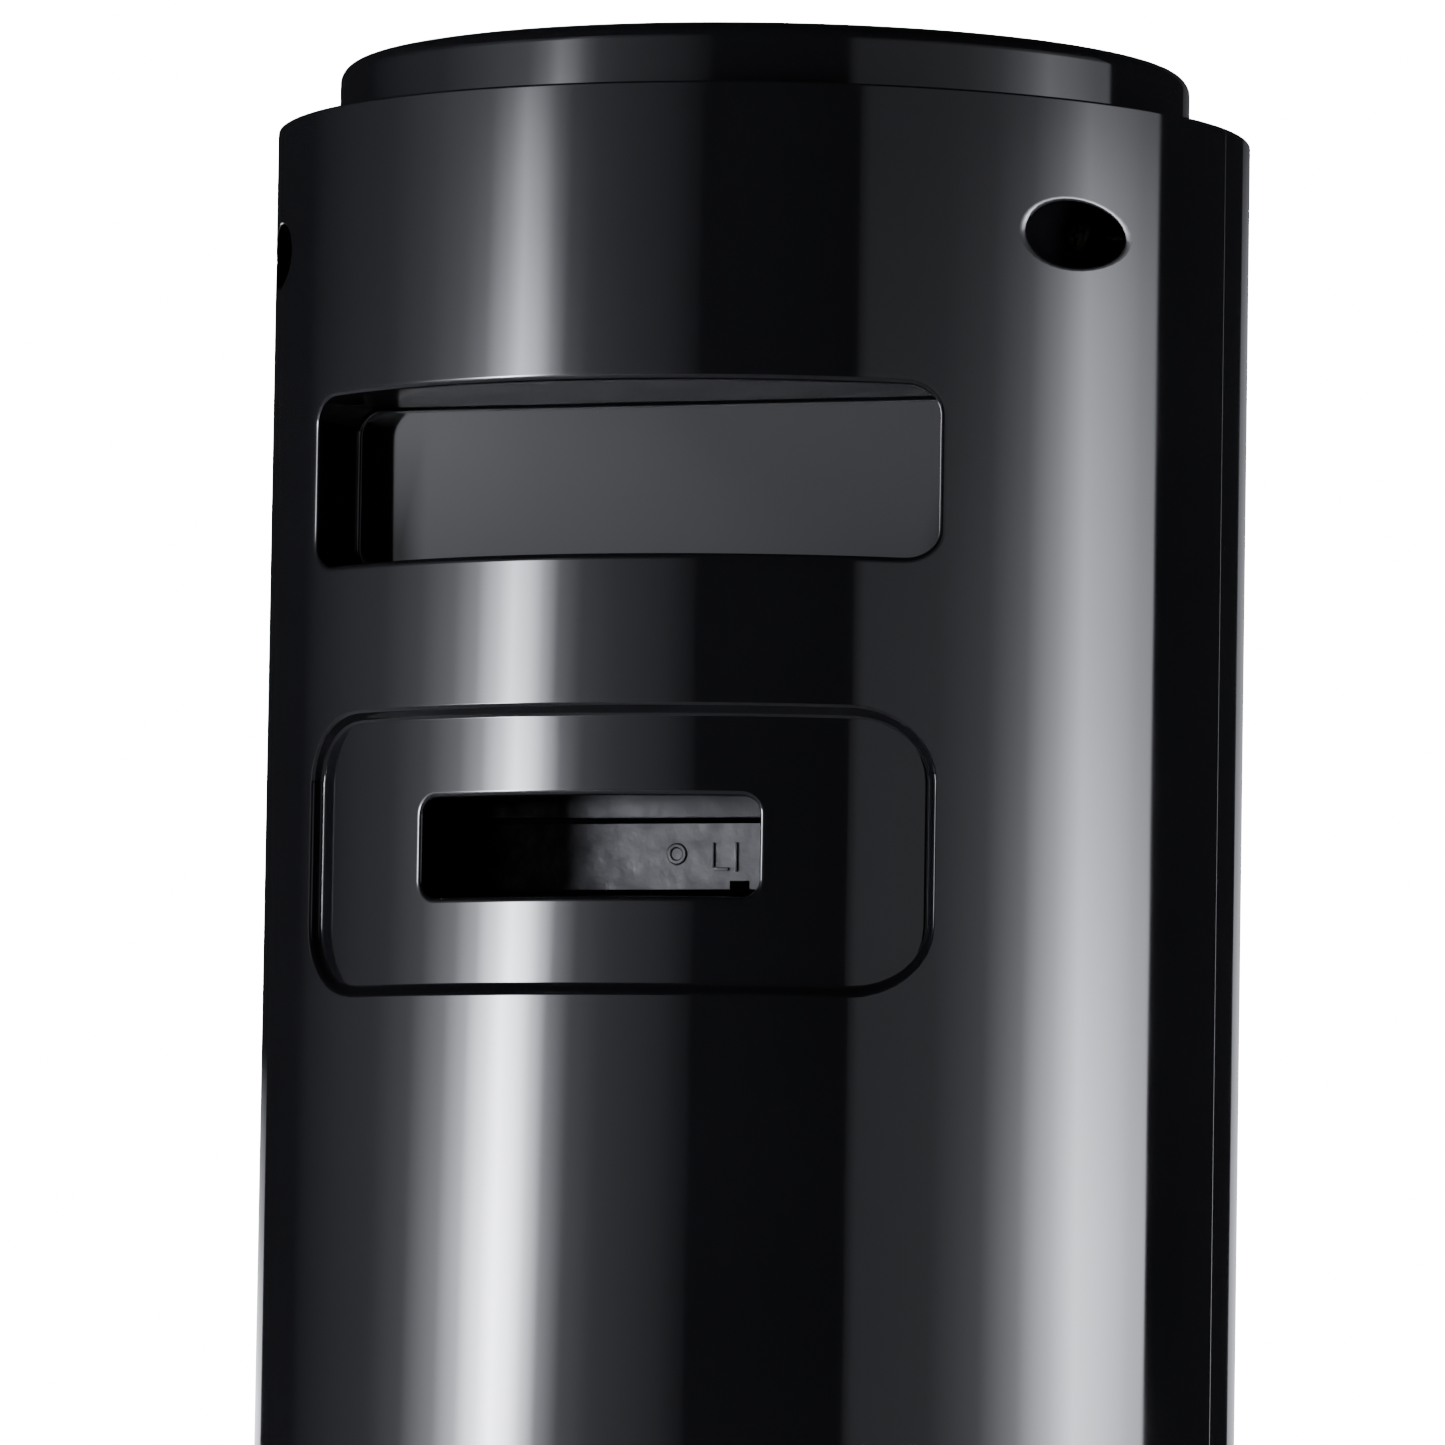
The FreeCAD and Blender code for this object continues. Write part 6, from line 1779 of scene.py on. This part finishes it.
@dataclass(frozen=True)
class SoftBox:
    """One tall curved sheet of light that the camera doesn't see.

    start_deg and end_deg are its sides, in degrees round the column from the camera's direction; fall and
    across are (place, brightness) points, up the sheet and from side to side; lean_deg turns its top round.
    """

    name: str
    start_deg: float
    end_deg: float
    strength: float
    fall: tuple[Point, ...]
    across: tuple[Point, ...]
    distance: float = 3.2
    low: float = 0.1
    high: float = 2.3
    lean_deg: float = 0.0
    steps: int = 24

    def build(self, camera_place: Vector) -> None:
        """Set the sheet of light on the stage.

        Args:
            camera_place: where the camera stands.
        """
        base = math.atan2(camera_place.y, camera_place.x)
        build = bmesh.new()
        layer = build.loops.layers.uv.new("across")
        rows = []
        for step in range(self.steps + 1):
            turn = self.start_deg + (self.end_deg - self.start_deg) * step / self.steps
            angle = base + math.radians(turn)
            top_angle = angle + math.radians(self.lean_deg)
            rows.append([build.verts.new((self.distance * math.cos(a), self.distance * math.sin(a), z))
                         for a, z in ((angle, self.low), (top_angle, self.high))])
        for step, (one, two) in enumerate(zip(rows, rows[1:])):
            face = build.faces.new((one[0], two[0], two[1], one[1]))
            for loop, (u, v) in zip(face.loops, ((0, 0), (1, 0), (1, 1), (0, 1))):
                loop[layer].uv = ((step + u) / self.steps, v)
        mesh = bpy.data.meshes.new(self.name)
        build.to_mesh(mesh)
        build.free()
        mesh.materials.append(self.glow())
        sheet = bpy.data.objects.new(self.name, mesh)
        sheet.visible_camera = False
        bpy.context.scene.collection.objects.link(sheet)

    def glow(self) -> bpy.types.Material:
        """The emission of the sheet, shaped by its two ramps.

        Returns:
            The new material.
        """
        made = bpy.data.materials.new(self.name)
        made.use_nodes = True
        tree = made.node_tree
        tree.nodes.clear()
        across = add_node(tree, "ShaderNodeUVMap", {"uv_map": "across"})
        split = add_node(tree, "ShaderNodeSeparateXYZ", {}, {0: across.outputs[0]})
        ramps = [self.ramp(tree, split.outputs[axis], points)
                 for axis, points in (("X", self.across), ("Y", self.fall))]
        both = add_node(tree, "ShaderNodeMath", {"operation": "MULTIPLY"}, {0: ramps[0], 1: ramps[1]})
        power = add_node(tree, "ShaderNodeMath", {"operation": "MULTIPLY", 1: self.strength},
                         {0: both.outputs[0]})
        light = add_node(tree, "ShaderNodeEmission", {"Color": linear("F4F6FF")},
                         {"Strength": power.outputs[0]})
        clear = add_node(tree, "ShaderNodeBsdfTransparent")
        seen = add_node(tree, "ShaderNodeAddShader", {}, {0: light.outputs[0], 1: clear.outputs[0]})
        add_node(tree, "ShaderNodeOutputMaterial", {}, {"Surface": seen.outputs[0]})
        return made

    @staticmethod
    def ramp(tree: bpy.types.NodeTree, along: bpy.types.NodeSocket, points: Sequence[Point]
             ) -> bpy.types.NodeSocket:
        """A brightness curve along one direction of the sheet.

        Args:
            tree: the material's node tree.
            along: the place across or up the sheet, from 0 to 1.
            points: (place, brightness) points.

        Returns:
            The socket that carries the brightness.
        """
        fade = add_node(tree, "ShaderNodeValToRGB", {}, {0: along})
        fade.color_ramp.interpolation = "CARDINAL" if len(points) < SOFT_CURVE_POINTS else "LINEAR"
        while len(fade.color_ramp.elements) < len(points):
            fade.color_ramp.elements.new(0.5)
        for element, (place, value) in zip(fade.color_ramp.elements, points):
            element.position = place
            element.color = (value, value, value, 1.0)
        return fade.outputs["Color"]


def dress_nodes() -> None:
    """Give every CAD node that stays in view the finish of its slot."""
    for node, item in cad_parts.items():
        slot_name = item.material_slots[0].material.name.split(".")[0] if item.material_slots else ""
        look = getattr(Look, slot_name, None)
        if look is None:
            LOG.warning("%s: no finish for slot %s", node, slot_name)
            continue
        for slot in item.material_slots:
            slot.material = look.value.material()


def main() -> None:
    """Build the studio, dress the CAD nodes and make every finer piece in order."""
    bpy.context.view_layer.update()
    dress_nodes()
    low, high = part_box("rear_shell")
    RearShell(high[0], low[2], high[2]).build()
    FrontShell(high[0], low[2], high[2]).build()
    cap_low, cap_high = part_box("top_cap")
    Cap(cap_high[0], cap_low[2], cap_high[2]).build()
    _, door_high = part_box("filter_door")
    Door(high[0], door_high[2]).build()
    Cartridge(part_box("hepa_media"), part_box("prefilter"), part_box("filter_gasket"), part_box("pull_tab")).build()
    RemoteBin().build()
    for group in screw_groups():
        group.build()
    RubberFeet().build()
    Studio().build()


if __name__ == "__main__":
    main()
